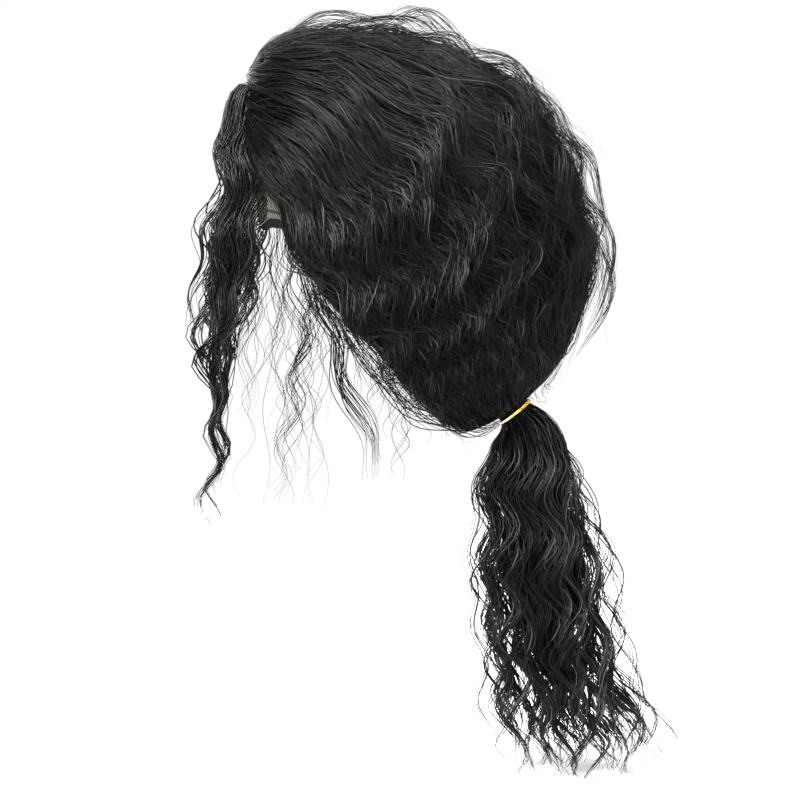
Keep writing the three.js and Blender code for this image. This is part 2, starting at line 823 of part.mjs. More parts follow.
const fibre = { colour: 0x1b1a1b, roughness: 0.45 };
const net = { colour: 0x2a2927, roughness: 0.85 };
const elastic = { colour: 0x0f0f10, roughness: 0.7 };
const latex = { colour: 0xe3c46a, roughness: 0.35 };

const wig = new THREE.Group();
wig.name = "curly_wig";
const hair = makeHair();
wig.add(piece("wig_cap", makeCap(), net));
wig.add(piece("cap_edge_band", makeBand(), elastic));
for (const [name, solid] of Object.entries(hair)) wig.add(piece(name, solid, fibre));
wig.add(piece("left_forelock", makeForelock(1, LEFT), fibre));
wig.add(piece("right_forelock", makeForelock(-1, RIGHT), fibre));
wig.add(piece("hair_tie", makeTie(), latex));
wig.add(piece("ponytail", makeTail(), fibre));

export default wig;
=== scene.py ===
"""Looks of a curly costume wig with a low ponytail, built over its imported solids.

Shapes are worked out in millimetres and become metres when a mesh is made. The frame is the
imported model's: +Z up, the face opening looks along -Y, +X is the wearer's left, and the origin
is the inside top of the cap.
"""

import logging
from collections.abc import Callable
from dataclasses import dataclass
from enum import Enum
from math import asin, cos, pi, radians, sin

import bpy
import numpy as np
from bpy.types import ID, Material, Mesh, Node, NodeSocket, NodeTree, Object
from mathutils import Matrix, Vector


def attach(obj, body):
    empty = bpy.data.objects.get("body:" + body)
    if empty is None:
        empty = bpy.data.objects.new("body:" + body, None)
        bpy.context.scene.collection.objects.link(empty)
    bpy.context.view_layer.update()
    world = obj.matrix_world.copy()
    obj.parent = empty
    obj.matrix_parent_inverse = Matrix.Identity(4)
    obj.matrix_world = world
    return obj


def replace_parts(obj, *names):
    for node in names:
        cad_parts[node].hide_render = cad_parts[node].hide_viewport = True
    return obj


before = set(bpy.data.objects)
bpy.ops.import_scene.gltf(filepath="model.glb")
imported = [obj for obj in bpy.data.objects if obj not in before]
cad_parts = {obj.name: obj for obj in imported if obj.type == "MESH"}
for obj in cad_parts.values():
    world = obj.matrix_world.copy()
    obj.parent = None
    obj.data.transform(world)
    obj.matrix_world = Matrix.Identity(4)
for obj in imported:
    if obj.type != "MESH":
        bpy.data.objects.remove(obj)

Array = np.ndarray
Links = dict[str, tuple[Node, str]]
Pair = tuple[float, float]
Triple = tuple[float, float, float]

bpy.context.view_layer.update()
LOG = logging.getLogger("wig")
MM = 0.001
FULL_TURN = 6.28  # radians, about one turn, for chance phases
THINNEST = 0.1  # mm, a strand's tip
THINNEST_SINGLE = 0.08  # mm, a single hair's tip
SIDEWAYS = np.array([1.0, 0.0, 0.0])
STRAND_CORNERS = ((0.0, 0.34), (-0.5, -0.17), (0.5, -0.17))  # aside and up, in widths
MAP_STEP = 3.7  # in the map from strand to strand, so that the tone of each drifts alone
MAP_LENGTH = 40.0  # mm of a strand in one unit of the map


class Slot(Enum):
    """Material slots of the record."""

    HAIR = "hair"
    NET = "net"
    EDGE = "edge_elastic"
    TIE = "tie_elastic"


class Side(Enum):
    """Side of the head that a piece belongs to, as the sign of its X."""

    LEFT = 1
    RIGHT = -1
    MIDDLE = 0


# ---------------- small helpers


def ease(value: Array, low: float, high: float) -> Array:
    """Smooth share for each number, from 0 at low to 1 at high."""
    share = np.clip((value - low) / (high - low), 0.0, 1.0)
    return share * share * (3.0 - 2.0 * share)


def table_curve(keys: list[float], values: list[float], at: Array) -> Array:
    """Value between a table's rows, on a smooth curve through them.

    Args:
        keys: Growing places of the rows.
        values: The rows' values.
        at: Places to read.

    Returns:
        The value at each place.
    """
    key, value = np.asarray(keys, float), np.asarray(values, float)
    last = len(key) - 1
    i = np.clip(np.searchsorted(key, at, side="left"), 1, last)
    before, after = np.maximum(i - 2, 0), np.minimum(i + 1, last)
    span = key[i] - key[i - 1]
    t = np.clip((at - key[i - 1]) / span, 0.0, 1.0)
    slope_a = (value[i] - value[before]) / (key[i] - key[before]) * span
    slope_b = (value[after] - value[i - 1]) / (key[after] - key[i - 1]) * span
    t2, t3 = t * t, t * t * t
    return (
        (2 * t3 - 3 * t2 + 1) * value[i - 1]
        + (t3 - 2 * t2 + t) * slope_a
        + (3 * t2 - 2 * t3) * value[i]
        + (t3 - t2) * slope_b
    )


def leaving(like: Array, far: float, rounds: int, inside: Callable[[Array], Array]) -> Array:
    """Distances at which rays leave a form, found by halving.

    Args:
        like: Numbers in the shape of the result.
        far: Distance that lies outside on every ray.
        rounds: How often the range is halved.
        inside: Tells whether each ray is still inside at its distance.

    Returns:
        The distance on each ray.
    """
    low, high = np.zeros_like(like), np.full_like(like, far)
    for _ in range(rounds):
        middle = (low + high) / 2
        under = inside(middle)
        low, high = np.where(under, middle, low), np.where(under, high, middle)
    return (low + high) / 2


def unit(vectors: Array) -> Array:
    """Vectors scaled to length 1."""
    return vectors / np.maximum(np.linalg.norm(vectors, axis=-1, keepdims=True), 1e-9)


def deselect_all() -> None:
    """Leaves object mode with nothing selected."""
    if bpy.context.object and bpy.context.object.mode != "OBJECT":
        bpy.ops.object.mode_set(mode="OBJECT")
    bpy.ops.object.select_all(action="DESELECT")


def add_object(name: str, data: ID) -> Object:
    """Puts a new object in the scene.

    Args:
        name: Object name.
        data: Its mesh, light or camera.

    Returns:
        The new object.
    """
    obj = bpy.data.objects.new(name, data)
    bpy.context.scene.collection.objects.link(obj)
    return obj


def activate(obj: Object) -> None:
    """Selects one object alone and makes it the active one.

    Args:
        obj: The object.
    """
    deselect_all()
    obj.select_set(True)
    bpy.context.view_layer.objects.active = obj


def apply_modifier(obj: Object, kind: str, **settings: object) -> None:
    """Adds a modifier to an object and applies it.

    Args:
        obj: The object to change.
        kind: Modifier type.
        **settings: Values of the modifier's properties.
    """
    activate(obj)
    modifier = obj.modifiers.new(kind.title(), kind)
    for name, value in settings.items():
        setattr(modifier, name, value)
    bpy.ops.object.modifier_apply(modifier=modifier.name)


def settle(obj: Object) -> None:
    """Puts an object's place, turn and scale into its mesh."""
    activate(obj)
    bpy.ops.object.transform_apply(location=True, rotation=True, scale=True)


# ---------------- finishes


def linear_colour(code: str) -> tuple[float, float, float, float]:
    """Linear colour of an sRGB hex value.

    Args:
        code: Hex value such as "#1b1a1b".

    Returns:
        Red, green, blue and alpha, linear.
    """
    parts = [int(code[i : i + 2], 16) / 255 for i in (1, 3, 5)]
    bent = [p / 12.92 if p <= 0.04045 else ((p + 0.055) / 1.055) ** 2.4 for p in parts]
    return (bent[0], bent[1], bent[2], 1.0)


def socket_of(node: Node, name: str) -> NodeSocket:
    """A node's input socket by its name, or by its number where names repeat."""
    return node.inputs[int(name)] if name.isdigit() else node.inputs[name]


def connect(tree: NodeTree, node: Node, links: Links) -> None:
    """Feeds a node's input sockets, each from another node and its output socket."""
    for name, (source, output) in links.items():
        tree.links.new(source.outputs[output], socket_of(node, name))


def add_node(
    tree: NodeTree, kind: str, settings: dict[str, object] | None = None, links: Links | None = None
) -> Node:
    """Adds one node with its settings and links.

    Args:
        tree: Node tree that gets the node.
        kind: Node type.
        settings: Values of its properties or sockets, or a ramp's stops as place and colour.
        links: Input socket to the node and output socket that feeds it.

    Returns:
        The new node.
    """
    node = tree.nodes.new(kind)
    for name, value in (settings or {}).items():
        if name == "stops":
            elements = node.color_ramp.elements
            for _ in range(len(value) - len(elements)):
                elements.new(0.5)
            for element, (place, code) in zip(elements, value):
                element.position, element.color = place, linear_colour(code)
        elif hasattr(node, name):
            setattr(node, name, value)
        else:
            socket_of(node, name).default_value = value
    connect(tree, node, links or {})
    return node


def new_material(name: str, sockets: dict[str, object]) -> tuple[Material, NodeTree, Node]:
    """A material with a principled shader and its output.

    Args:
        name: Material name.
        sockets: Values of the shader's own sockets.

    Returns:
        The material, its node tree and its shader.
    """
    material = bpy.data.materials.new(name)
    material.use_nodes = True
    tree = material.node_tree
    tree.nodes.clear()
    shader = add_node(tree, "ShaderNodeBsdfPrincipled", sockets)
    add_node(tree, "ShaderNodeOutputMaterial", links={"Surface": (shader, "BSDF")})
    return material, tree, shader


@dataclass(frozen=True)
class FibreFinish:
    """Modacrylic wig fibre, drawn and set in waves by heat.

    Drawn fibre is smooth along its length, so each lock carries a soft long gloss on its
    crests and stays near black between them. On top of the real gloss, the crests' lighter
    tone is a painted highlight.
    """

    name: str = "modacrylic_fibre_heat_set"
    dark: str = "#040404"
    middle: str = "#0a0a0a"
    # The lightest tone, taken by a few light strands and by the painted highlights on the wave
    # crests
    light: str = "#353535"
    roughness: float = 0.33
    specular: float = 0.085
    mottle: float = 0.35  # how much of the tone drifts along a strand

    def material(self) -> Material:
        """Material for single strands, coloured by their own tone, which carries painted highlights
        on the wave crests.
        """
        material, tree, shader = new_material(
            self.name, {"Specular IOR Level": self.specular, "IOR": 1.5}
        )
        tone = add_node(tree, "ShaderNodeAttribute", {"attribute_name": "tone"})
        uv = add_node(tree, "ShaderNodeUVMap", {"uv_map": "fibre"})
        # Tone drifts along a strand over 30 to 60 mm, partly as dye does and partly as painted
        # light along a wave
        drift = add_node(
            tree, "ShaderNodeTexNoise",
            {"noise_dimensions": "2D", "Scale": 1.0, "Detail": 2.0},
            {"Vector": (uv, "UV")},
        )
        mixed = add_node(
            tree, "ShaderNodeMath",
            {"operation": "MULTIPLY_ADD", "1": self.mottle},
            {"0": (drift, "Fac"), "2": (tone, "Fac")},
        )
        # High tones hold the painted crest highlights as well as the strands' own lighter tone
        ramp = add_node(
            tree, "ShaderNodeValToRGB",
            {"stops": [(0.1, self.dark), (0.55, self.middle), (1.0, self.light)]},
            {"Fac": (mixed, "Value")},
        )
        rough = add_node(
            tree, "ShaderNodeMapRange",
            {"To Min": self.roughness - 0.07, "To Max": self.roughness + 0.1},
            {"Value": (drift, "Fac")},
        )
        connect(tree, shader, {"Base Color": (ramp, "Color"), "Roughness": (rough, "Result")})
        return material


@dataclass(frozen=True)
class UnderFibreFinish:
    """The same fibre seen deep in the hair, where strands merge into dark combed lines."""

    name: str = "modacrylic_fibre_combed"
    dark: str = "#030303"
    light: str = "#0a090a"
    roughness: float = 0.7
    line_pitch: float = 0.9  # mm between combed lines; real fibre is far finer
    line_depth: float = 0.6  # mm

    def material(self) -> Material:
        """Material for the masses under the strands."""
        material, tree, shader = new_material(
            self.name, {"Specular IOR Level": 0.04, "Roughness": self.roughness}
        )
        uv = add_node(tree, "ShaderNodeUVMap", {"uv_map": "fibre"})
        # The map is in millimetres: lines repeat across the flow and run long with it
        lines = add_node(
            tree, "ShaderNodeMapping",
            {"Scale": (1 / self.line_pitch, 0.03, 1.0)},
            {"Vector": (uv, "UV")},
        )
        noise = add_node(
            tree, "ShaderNodeTexNoise",
            {"noise_dimensions": "2D", "Scale": 1.0, "Detail": 3.0, "Roughness": 0.6},
            {"Vector": (lines, "Vector")},
        )
        ramp = add_node(
            tree, "ShaderNodeValToRGB",
            {"stops": [(0.4, self.dark), (0.75, self.light)]},
            {"Fac": (noise, "Fac")},
        )
        bump = add_node(
            tree, "ShaderNodeBump",
            {"Strength": 0.8, "Distance": self.line_depth * MM},
            {"Height": (noise, "Fac")},
        )
        connect(tree, shader, {"Base Color": (ramp, "Color"), "Normal": (bump, "Normal")})
        return material


@dataclass(frozen=True)
class NetFinish:
    """Knitted nylon cap net: dull olive-grey threads with small dark openings."""

    name: str = "nylon_cap_net_knitted"
    thread: str = "#4e4d43"
    opening: str = "#22211d"
    seam: str = "#141412"
    cell: float = 2.2  # mm; the real net's 1 mm cells would not show
    row_pitch: float = 13.0  # mm between the sewn rows of hair
    thread_height: float = 0.4  # mm

    def material(self) -> Material:
        """Material for the cap's wall."""
        material, tree, shader = new_material(
            self.name, {"Roughness": 0.8, "Specular IOR Level": 0.25}
        )
        # The map is in millimetres, laid out flat from the crown
        uv = add_node(tree, "ShaderNodeUVMap", {"uv_map": "net"})
        cells = add_node(
            tree, "ShaderNodeTexVoronoi",
            {"voronoi_dimensions": "2D", "feature": "DISTANCE_TO_EDGE",
             "Scale": 1 / self.cell, "Randomness": 0.25},
            {"Vector": (uv, "UV")},
        )
        edge = add_node(
            tree, "ShaderNodeMapRange",
            {"From Min": 0.06, "From Max": 0.2, "To Min": 1.0, "To Max": 0.0},
            {"Value": (cells, "Distance")},
        )
        ramp = add_node(
            tree, "ShaderNodeValToRGB",
            {"stops": [(0.0, self.opening), (1.0, self.thread)]},
            {"Fac": (edge, "Result")},
        )
        down = add_node(tree, "ShaderNodeVectorMath", {"operation": "LENGTH"}, {"0": (uv, "UV")})
        rows = add_node(
            tree, "ShaderNodeMath",
            {"operation": "PINGPONG", "1": self.row_pitch / 2},
            {"0": (down, "Value")},
        )
        sewn = add_node(
            tree, "ShaderNodeMapRange",
            {"From Min": 0.9, "From Max": 1.3, "To Min": 1.0, "To Max": 0.0},
            {"Value": (rows, "Value")},
        )
        mixed = add_node(
            tree, "ShaderNodeMix",
            {"data_type": "RGBA", "blend_type": "MIX", "7": linear_colour(self.seam)},
            {"0": (sewn, "Result"), "6": (ramp, "Color")},
        )
        bump = add_node(
            tree, "ShaderNodeBump",
            {"Strength": 0.9, "Distance": self.thread_height * MM},
            {"Height": (edge, "Result")},
        )
        connect(tree, shader, {"Base Color": (mixed, 2), "Normal": (bump, "Normal")})
        return material


@dataclass(frozen=True)
class ElasticFinish:
    """Woven polyester elastic: black, dull, with close ribs across its width."""

    name: str = "polyester_elastic_woven"
    crest: str = "#0c0c0c"
    groove: str = "#040404"
    rib: float = 1.6  # mm between ribs
    rib_height: float = 0.3  # mm

    def material(self) -> Material:
        """Material for the cap's edge band."""
        material, tree, shader = new_material(
            self.name, {"Roughness": 0.72, "Specular IOR Level": 0.08}
        )
        uv = add_node(tree, "ShaderNodeUVMap", {"uv_map": "weave"})
        ribs = add_node(
            tree, "ShaderNodeTexWave",
            {"wave_type": "BANDS", "bands_direction": "X", "Scale": 0.314 / self.rib * 2,
             "Distortion": 0.6, "Detail": 1.0},
            {"Vector": (uv, "UV")},
        )
        # The grooves between the ribs are painted darker than the crests, as painted shade
        ramp = add_node(
            tree, "ShaderNodeValToRGB",
            {"stops": [(0.2, self.groove), (0.8, self.crest)]},
            {"Fac": (ribs, "Fac")},
        )
        bump = add_node(
            tree, "ShaderNodeBump",
            {"Strength": 0.7, "Distance": self.rib_height * MM},
            {"Height": (ribs, "Fac")},
        )
        connect(tree, shader, {"Base Color": (ramp, "Color"), "Normal": (bump, "Normal")})
        return material


@dataclass(frozen=True)
class LatexFinish:
    """Dipped latex hair elastic: translucent golden yellow, painted pale cream towards the nape as
    a painted highlight.
    """

    name: str = "latex_elastic_dipped"
    gold: str = "#d9a92f"
    painted_highlight_cream: str = "#efe3c4"
    front: float = 79.0  # mm; the ring is painted cream here as a painted highlight, towards the nape
    back: float = 103.0  # mm; and gold from the middle to here
    grain_height: float = 0.1  # mm

    def material(self) -> Material:
        """Material for the hair tie."""
        radius = (0.9 * MM, 0.7 * MM, 0.3 * MM)
        material, tree, shader = new_material(
            self.name,
            {"Roughness": 0.34, "IOR": 1.52, "Subsurface Weight": 0.25,
             "Subsurface Radius": radius},
        )
        place = add_node(tree, "ShaderNodeTexCoord")
        shift = add_node(tree, "ShaderNodeSeparateXYZ", links={"Vector": (place, "Object")})
        share = add_node(
            tree, "ShaderNodeMapRange",
            {"From Min": self.front * MM, "From Max": self.back * MM},
            {"Value": (shift, "Y")},
        )
        # Cream towards the nape is a painted highlight; gold is the latex's own colour
        ramp = add_node(
            tree, "ShaderNodeValToRGB",
            {"stops": [(0.1, self.painted_highlight_cream), (0.62, self.gold)]},
            {"Fac": (share, "Result")},
        )
        grain = add_node(
            tree, "ShaderNodeTexNoise",
            {"Scale": 900.0, "Detail": 1.0},
            {"Vector": (place, "Object")},
        )
        bump = add_node(
            tree, "ShaderNodeBump",
            {"Strength": 0.25, "Distance": self.grain_height * MM},
            {"Height": (grain, "Fac")},
        )
        connect(tree, shader, {"Base Color": (ramp, "Color"), "Normal": (bump, "Normal")})
        return material


# ---------------- the wig's forms


@dataclass(frozen=True)
class HeadForm:
    """Form of the head that the cap fits, a superellipsoid with its top at the origin."""

    half_length: float = 95.0
    half_breadth: float = 76.0
    crown_height: float = 100.0
    nape_height: float = 118.0
    fullness: float = 2.3
    cap_wall: float = 1.6
    band_height: float = 6.5
    seam_gap: float = 0.4
    rim_bearings: tuple[float, ...] = (0, 12, 24, 34, 48, 62, 80, 98, 118, 140, 180)
    rim_drops: tuple[float, ...] = (
        0.37, 0.44, 1.12, 1.16, 1.165, 1.12, 1.02, 1.05, 1.42, 1.67, 1.71,
    )

    def point(self, bearing: Array, down: Array, growth: float) -> Array:
        """Point on the form grown by an amount.

        Args:
            bearing: Angle round from the face.
            down: Angle down from the crown.
            growth: Clear distance outside the form.

        Returns:
            Points in millimetres.
        """
        direction = np.stack(
            [
                np.sin(down) * np.sin(bearing),
                -np.sin(down) * np.cos(bearing),
                np.cos(down) * np.ones_like(bearing),
            ],
            axis=-1,
        )
        height = np.where(direction[..., 2] > 0, self.crown_height, self.nape_height) + growth
        measure = (
            np.abs(direction[..., 0] / (self.half_breadth + growth)) ** self.fullness
            + np.abs(direction[..., 1] / (self.half_length + growth)) ** self.fullness
            + np.abs(direction[..., 2] / height) ** self.fullness
        )
        point = direction * (measure ** (-1 / self.fullness))[..., None]
        point[..., 2] -= self.crown_height
        return point

    def rim_angle(self, bearing: Array) -> Array:
        """Angle down from the crown at the cap's rim.

        Args:
            bearing: Angle round from the face.

        Returns:
            The angle at each bearing.
        """
        from_face = np.abs((np.degrees(bearing) + 180) % 360 - 180)
        drop = table_curve(self.rim_bearings, self.rim_drops, from_face) * self.crown_height
        return leaving(
            bearing, 0.98 * pi, 30, lambda at: -self.point(bearing, at, 0.0)[..., 2] < drop
        )

    def section(self, back: Array, down: Array, growth: float) -> Array:
        """How much of the form's fullness a place on the middle plane takes, 1 at its outline.

        Args:
            back: Place from front to back.
            down: Place below the crown.
            growth: Clear distance outside the form.

        Returns:
            The share at each place.
        """
        tall = np.where(down > -self.crown_height, self.crown_height, self.nape_height)
        share = np.abs(back / (self.half_length + growth)) ** self.fullness
        return share + np.abs((down + self.crown_height) / (tall + growth)) ** self.fullness


@dataclass(frozen=True)
class HairForm:
    """Smooth outer form of the gathered hair and the way its strands flow over it."""

    head: HeadForm = HeadForm()
    centre_drop: float = 39.5
    top_loft: float = 16.5
    back_loft: float = 57.0
    side_loft: float = 19.0
    flow_tilt: float = radians(51.4)
    fullness: float = 2.25
    ridge_height: float = 4.5
    lock_sway: float = 4.5
    wave_length: float = 56.0
    lip_drop: float = 4.0
    neck_half: float = 58.0
    neck_back: float = 45.0
    tie_radius: float = 13.3
    tie_thickness: float = 1.8
    tie_draw: float = 2.4
    outline: tuple[Triple, ...] = (
        (0, 1.0, 0.93), (8, 1.045, 0.94), (22, 1.05, 0.95), (35, 1.01, 0.97),
        (48, 1.005, 0.99), (60, 0.975, 1.0), (75, 0.985, 1.0), (90, 0.968, 0.99),
        (102, 0.982, 0.97), (114, 0.962, 0.95), (128, 1.0, 0.9), (142, 0.985, 0.84),
        (153, 0.95, 0.79), (165, 0.95, 0.76), (180, 0.94, 0.75), (200, 0.9, 0.79),
        (230, 0.9, 0.87), (270, 0.8, 0.93), (300, 0.66, 0.96), (325, 0.7, 0.97),
        (341, 0.8, 0.96), (348, 0.885, 0.94), (355, 0.96, 0.93), (360, 1.0, 0.93),
    )
    side_edge: tuple[Pair, ...] = (
        (-1.3, 0.92), (-0.99, 0.93), (-0.78, 0.95), (-0.73, 1.26), (-0.5, 1.62),
        (-0.26, 1.92), (0.0, 2.16), (0.2, 2.42), (0.42, 2.57), (0.72, 2.68),
    )
    curtain: tuple[Pair, ...] = (
        (0, 0.37), (0.25, 0.45), (0.48, 0.66), (0.64, 0.95), (0.66, 3.6),
    )

    @property
    def centre(self) -> Array:
        """Middle of the hair."""
        return np.array([0.0, 0.0, -self.head.crown_height - self.centre_drop])

    @property
    def axis(self) -> Array:
        """Direction from the hairline to the tie."""
        return np.array([0.0, cos(self.flow_tilt), -sin(self.flow_tilt)])

    @property
    def up(self) -> Array:
        """Direction square to the flow axis, towards the crown."""
        return np.array([0.0, sin(self.flow_tilt), cos(self.flow_tilt)])

    @property
    def reaches(self) -> Triple:
        """Reach of the form backwards, upwards and sideways from its centre."""
        head = self.head
        return (
            head.half_length + head.cap_wall + self.back_loft,
            head.crown_height + self.centre_drop + head.cap_wall + self.top_loft,
            head.half_breadth + head.cap_wall + self.side_loft,
        )

    @property
    def neck_middle(self) -> float:
        """Middle of the way of the neck, from front to back."""
        return (self.neck_back - self.head.half_length) / 2

    @property
    def neck_depth(self) -> float:
        """Half length of the way of the neck, from front to back."""
        return (self.neck_back + self.head.half_length) / 2

    @property
    def tie_reach(self) -> float:
        """Distance from the hair's centre to the tie's near face."""
        return float(self.reach(self.axis[None])[0]) - self.tie_draw

    @property
    def tie_centre(self) -> Array:
        """Middle of the tie's ring."""
        away = self.tie_reach + self.tie_thickness / 2 + self.head.seam_gap
        return self.centre + self.axis * away

    @property
    def gather_angle(self) -> float:
        """Angle along the flow at which the hair meets the tie."""
        inner = self.tie_radius - self.tie_thickness / 2
        return pi - asin(inner / self.tie_reach)

    def direction(self, along: Array, psi: Array) -> Array:
        """Direction from the hair's centre.

        Args:
            along: Angle along the flow from the front pole.
            psi: Angle round the flow from the middle of the crown.

        Returns:
            Unit directions.
        """
        return (
            -self.axis * np.cos(along)[..., None]
            + self.up * (np.sin(along) * np.cos(psi))[..., None]
            + SIDEWAYS * (np.sin(along) * np.sin(psi))[..., None]
        )

    def spoke(self, turn: Array) -> Array:
        """Directions square to the flow axis, by their angle round it."""
        return self.up * np.cos(turn)[..., None] + SIDEWAYS * np.sin(turn)[..., None]

    def reach(self, direction: Array) -> Array:
        """Distance from the hair's centre to the smooth outer form.

        Args:
            direction: Unit directions.

        Returns:
            The distance in each direction.
        """
        back, up, side = self.reaches
        keys, shares, widths = (list(c) for c in zip(*self.outline))
        y, z = direction[..., 1] / back, direction[..., 2] / up
        turn = (np.degrees(pi - self.flow_tilt - np.arctan2(z, y)) + 360) % 360
        share = np.hypot(y, z) / table_curve(keys, shares, turn)
        narrow = table_curve(keys, widths, turn)

        def inside(at: Array) -> Array:
            """Whether each ray is inside the form at its distance.

            Args:
                at: The distances.

            Returns:
                True for the rays that are inside.
            """
            part = share * at
            width = side * (1 + (narrow - 1) * np.minimum(part, 1) ** 2)
            across = np.abs(direction[..., 0] * at) / width
            return part**self.fullness + across**self.fullness < 1

        return leaving(share, back * 2, 20, inside)

    def cap_reach(self, direction: Array) -> Array:
        """Distance from the hair's centre to the cap's outer face.

        Args:
            direction: Unit directions.

        Returns:
            The distance in each direction.
        """
        head, centre = self.head, self.centre

        def inside(at: Array) -> Array:
            """Whether each ray is inside the cap at its distance.

            Args:
                at: The distances.

            Returns:
                True for the rays that are inside.
            """
            x, y, z = (direction[..., i] * at + centre[i] for i in range(3))
            across = np.abs(x / (head.half_breadth + head.cap_wall)) ** head.fullness
            return across + head.section(y, z, head.cap_wall) < 1

        return leaving(direction[..., 0], 200.0, 16, inside)

    def sway(self, along: Array, psi: Array, radius: Array, ahead: float = 0.0) -> Array:
        """How far a lock's wave carries it to the side.

        Args:
            along: Angle along the flow.
            psi: Angle round the flow.
            radius: Distance from the hair's centre.
            ahead: Angle by which the wave is read ahead.

        Returns:
            The shift in millimetres.
        """
        wave = self.wave_angle(along, psi, radius)
        calm = ease(pi - np.abs(psi), 0.0, 0.5)
        return self.lock_sway * np.sin(along) * np.sin(wave + ahead) * calm

    def wave_angle(self, along: Array, psi: Array, radius: Array) -> Array:
        """Angle of the main locks' wave at a place, growing with the way along the flow."""
        phase = 2.4 * psi + 0.9 * np.sin(3 * psi + 1)
        return 2 * pi * radius * along / self.wave_length + phase

    def sink(self, along: Array, psi: Array) -> Array:
        """How far the combed hair lies below the smooth form on top and at the back.

        Args:
            along: Angle along the flow.
            psi: Angle round the flow.

        Returns:
            The depth at each place.
        """
        over = ease(along, radians(10), radians(22))
        over = over * (1 - ease(along, radians(62), radians(100)))
        behind = ease(along, radians(84), radians(104))
        behind = behind * (1 - ease(along, radians(146), radians(158)))
        top = 4.2 * over * (1 - ease(np.abs(psi), 0.35, 0.8))
        return top + 4.4 * behind * (1 - ease(np.abs(psi), 0.5, 1.3))

    def edge_drop(self, back: Array, smooth: bool = False) -> Array:
        """Depth of the side hair's lower edge below the crown.

        Args:
            back: Places from front to back.
            smooth: Whether the edge is read on a smooth curve, or straight from row to row.

        Returns:
            The depth at each place.
        """
        backs, drops = zip(*self.side_edge)
        share = back / self.head.half_length
        edge = table_curve(backs, drops, share) if smooth else np.interp(share, backs, drops)
        return edge * self.head.crown_height

    def thin_edge(self, back: Array) -> Array:
        """Height of the loose zone at the hair's lower edge, where only strands hang."""
        return 8.5 * ease(back, -66, -42) * (1 - ease(back, 16, 48))

    def swept_edge(self, along: Array) -> Array:
        """Angle round the flow of the swept hair's edge."""
        wide = 1 - ease(along, radians(8), radians(40))
        return radians(47) + radians(22) * wide

    def open_at(self, points: Array) -> Array:
        """Whether points lie in the face opening or in the way of the neck.

        Args:
            points: Places in millimetres.

        Returns:
            True where there is no hair.
        """
        head = self.head
        x, y, z = points[..., 0], points[..., 1], points[..., 2]
        in_face = (y < self.side_edge[-1][0] * head.half_length) & (-z > self.edge_drop(y))
        outs, curtain_drops = zip(*self.curtain)
        fall = np.interp(np.abs(x) / head.half_breadth, outs, curtain_drops, right=99.0)
        in_front = (y < -0.5 * head.half_length) & (-z / head.crown_height > fall)
        along_neck = (y - self.neck_middle) / self.neck_depth
        in_neck = (x / self.neck_half) ** 2 + along_neck**2 < 1
        return in_face | in_front | (in_neck & (z < -head.crown_height))


@dataclass(frozen=True)
class TailForm:
    """Form of the hanging ponytail below the tie."""

    hair: HairForm = HairForm()
    length: float = 243.0
    depth: float = 86.0
    breadth: float = 70.0
    rows: tuple[Triple, ...] = (
        (0.0, 0.0, 0.29), (0.04, 0.1, 0.5), (0.12, 0.12, 0.66), (0.22, 0.12, 0.72),
        (0.34, 0.19, 0.88), (0.46, 0.215, 0.97), (0.58, 0.26, 1.0), (0.7, 0.32, 0.97),
        (0.8, 0.39, 0.92), (0.88, 0.455, 0.86), (0.94, 0.49, 0.78), (1.0, 0.52, 0.66),
    )

    def point(self, fall: Array, turn: Array, share: Array) -> Array:
        """Place in the ponytail.

        Args:
            fall: Share of its length below the tie.
            turn: Angle round it from its back.
            share: Share of its half depth and half breadth, 1 at its surface.

        Returns:
            Points in millimetres.
        """
        falls, backs, girths = zip(*self.rows)
        inside = np.clip(fall, 0.0, falls[-1])
        back = table_curve(falls, backs, inside) * self.depth
        girth = table_curve(falls, girths, inside)
        neck = self.hair.tie_radius - self.hair.tie_thickness / 2 - 1.2
        loose = ease(fall, 0.0, 0.09)
        lengthwise = unit(
            np.array([0.0, 1.0, 0.0]) * loose[..., None] + self.hair.up * (1 - loose)[..., None]
        )
        centre = np.zeros(fall.shape + (3,)) + self.hair.tie_centre
        centre[..., 1] += back
        centre[..., 2] -= fall * self.length
        depth = np.maximum(girth * self.depth / 2, neck) * share * np.cos(turn)
        breadth = np.maximum(girth * self.breadth / 2, neck) * share * np.sin(turn)
        centre += lengthwise * depth[..., None]
        centre[..., 0] += breadth
        return centre


@dataclass(frozen=True)
class ForelockForm:
    """Course of one forelock: a broad wavy lock with a slimmer one winding round it."""

    length: float = 292.0
    width: float = 36.0
    thickness: float = 15.0
    out: float = 47.0
    drop: float = 32.5
    turn_length: float = 76.0
    hang_front: float = 96.6
    rows: tuple[tuple[float, float, float, float], ...] = (
        (0.0, 0.05, -0.66, 0.62), (0.1, 0.13, -0.3, 0.92), (0.24, 0.1, 0.05, 1.05),
        (0.36, 0.3, 0.15, 1.22), (0.46, 0.38, 0.05, 1.18), (0.57, 0.58, 0.2, 1.16),
        (0.645, 0.56, 0.05, 0.7), (0.72, 0.5, 0.15, 0.26), (0.79, 0.66, 0.0, 0.16),
        (0.87, 0.44, 0.1, 0.14), (0.955, 0.86, 0.0, 0.1), (1.02, 0.6, 0.05, 0.04),
    )

    def point(self, side: int, fall: Array, twist: Array, spread: Array) -> Array:
        """Place in the forelock.

        Args:
            side: 1 for the left, -1 for the right.
            fall: Share of its length below its root.
            twist: Angle round it where it starts.
            spread: Distance from its middle as a share of its girth.

        Returns:
            Points in millimetres.
        """
        falls, fronts, outs, girths = zip(*self.rows)
        girth = table_curve(falls, girths, fall) * self.width
        front = table_curve(falls, fronts, fall) * self.width
        out = table_curve(falls, outs, fall) * self.width
        turn = twist + 2 * pi * fall * self.length / self.turn_length
        apart = np.minimum(spread * girth, self.thickness / 2)
        return np.stack(
            [
                side * (self.out + out + apart * np.sin(turn)),
                -self.hang_front - front + spread * girth * np.cos(turn),
                -self.drop - fall * self.length,
            ],
            axis=-1,
        )


# ---------------- strands


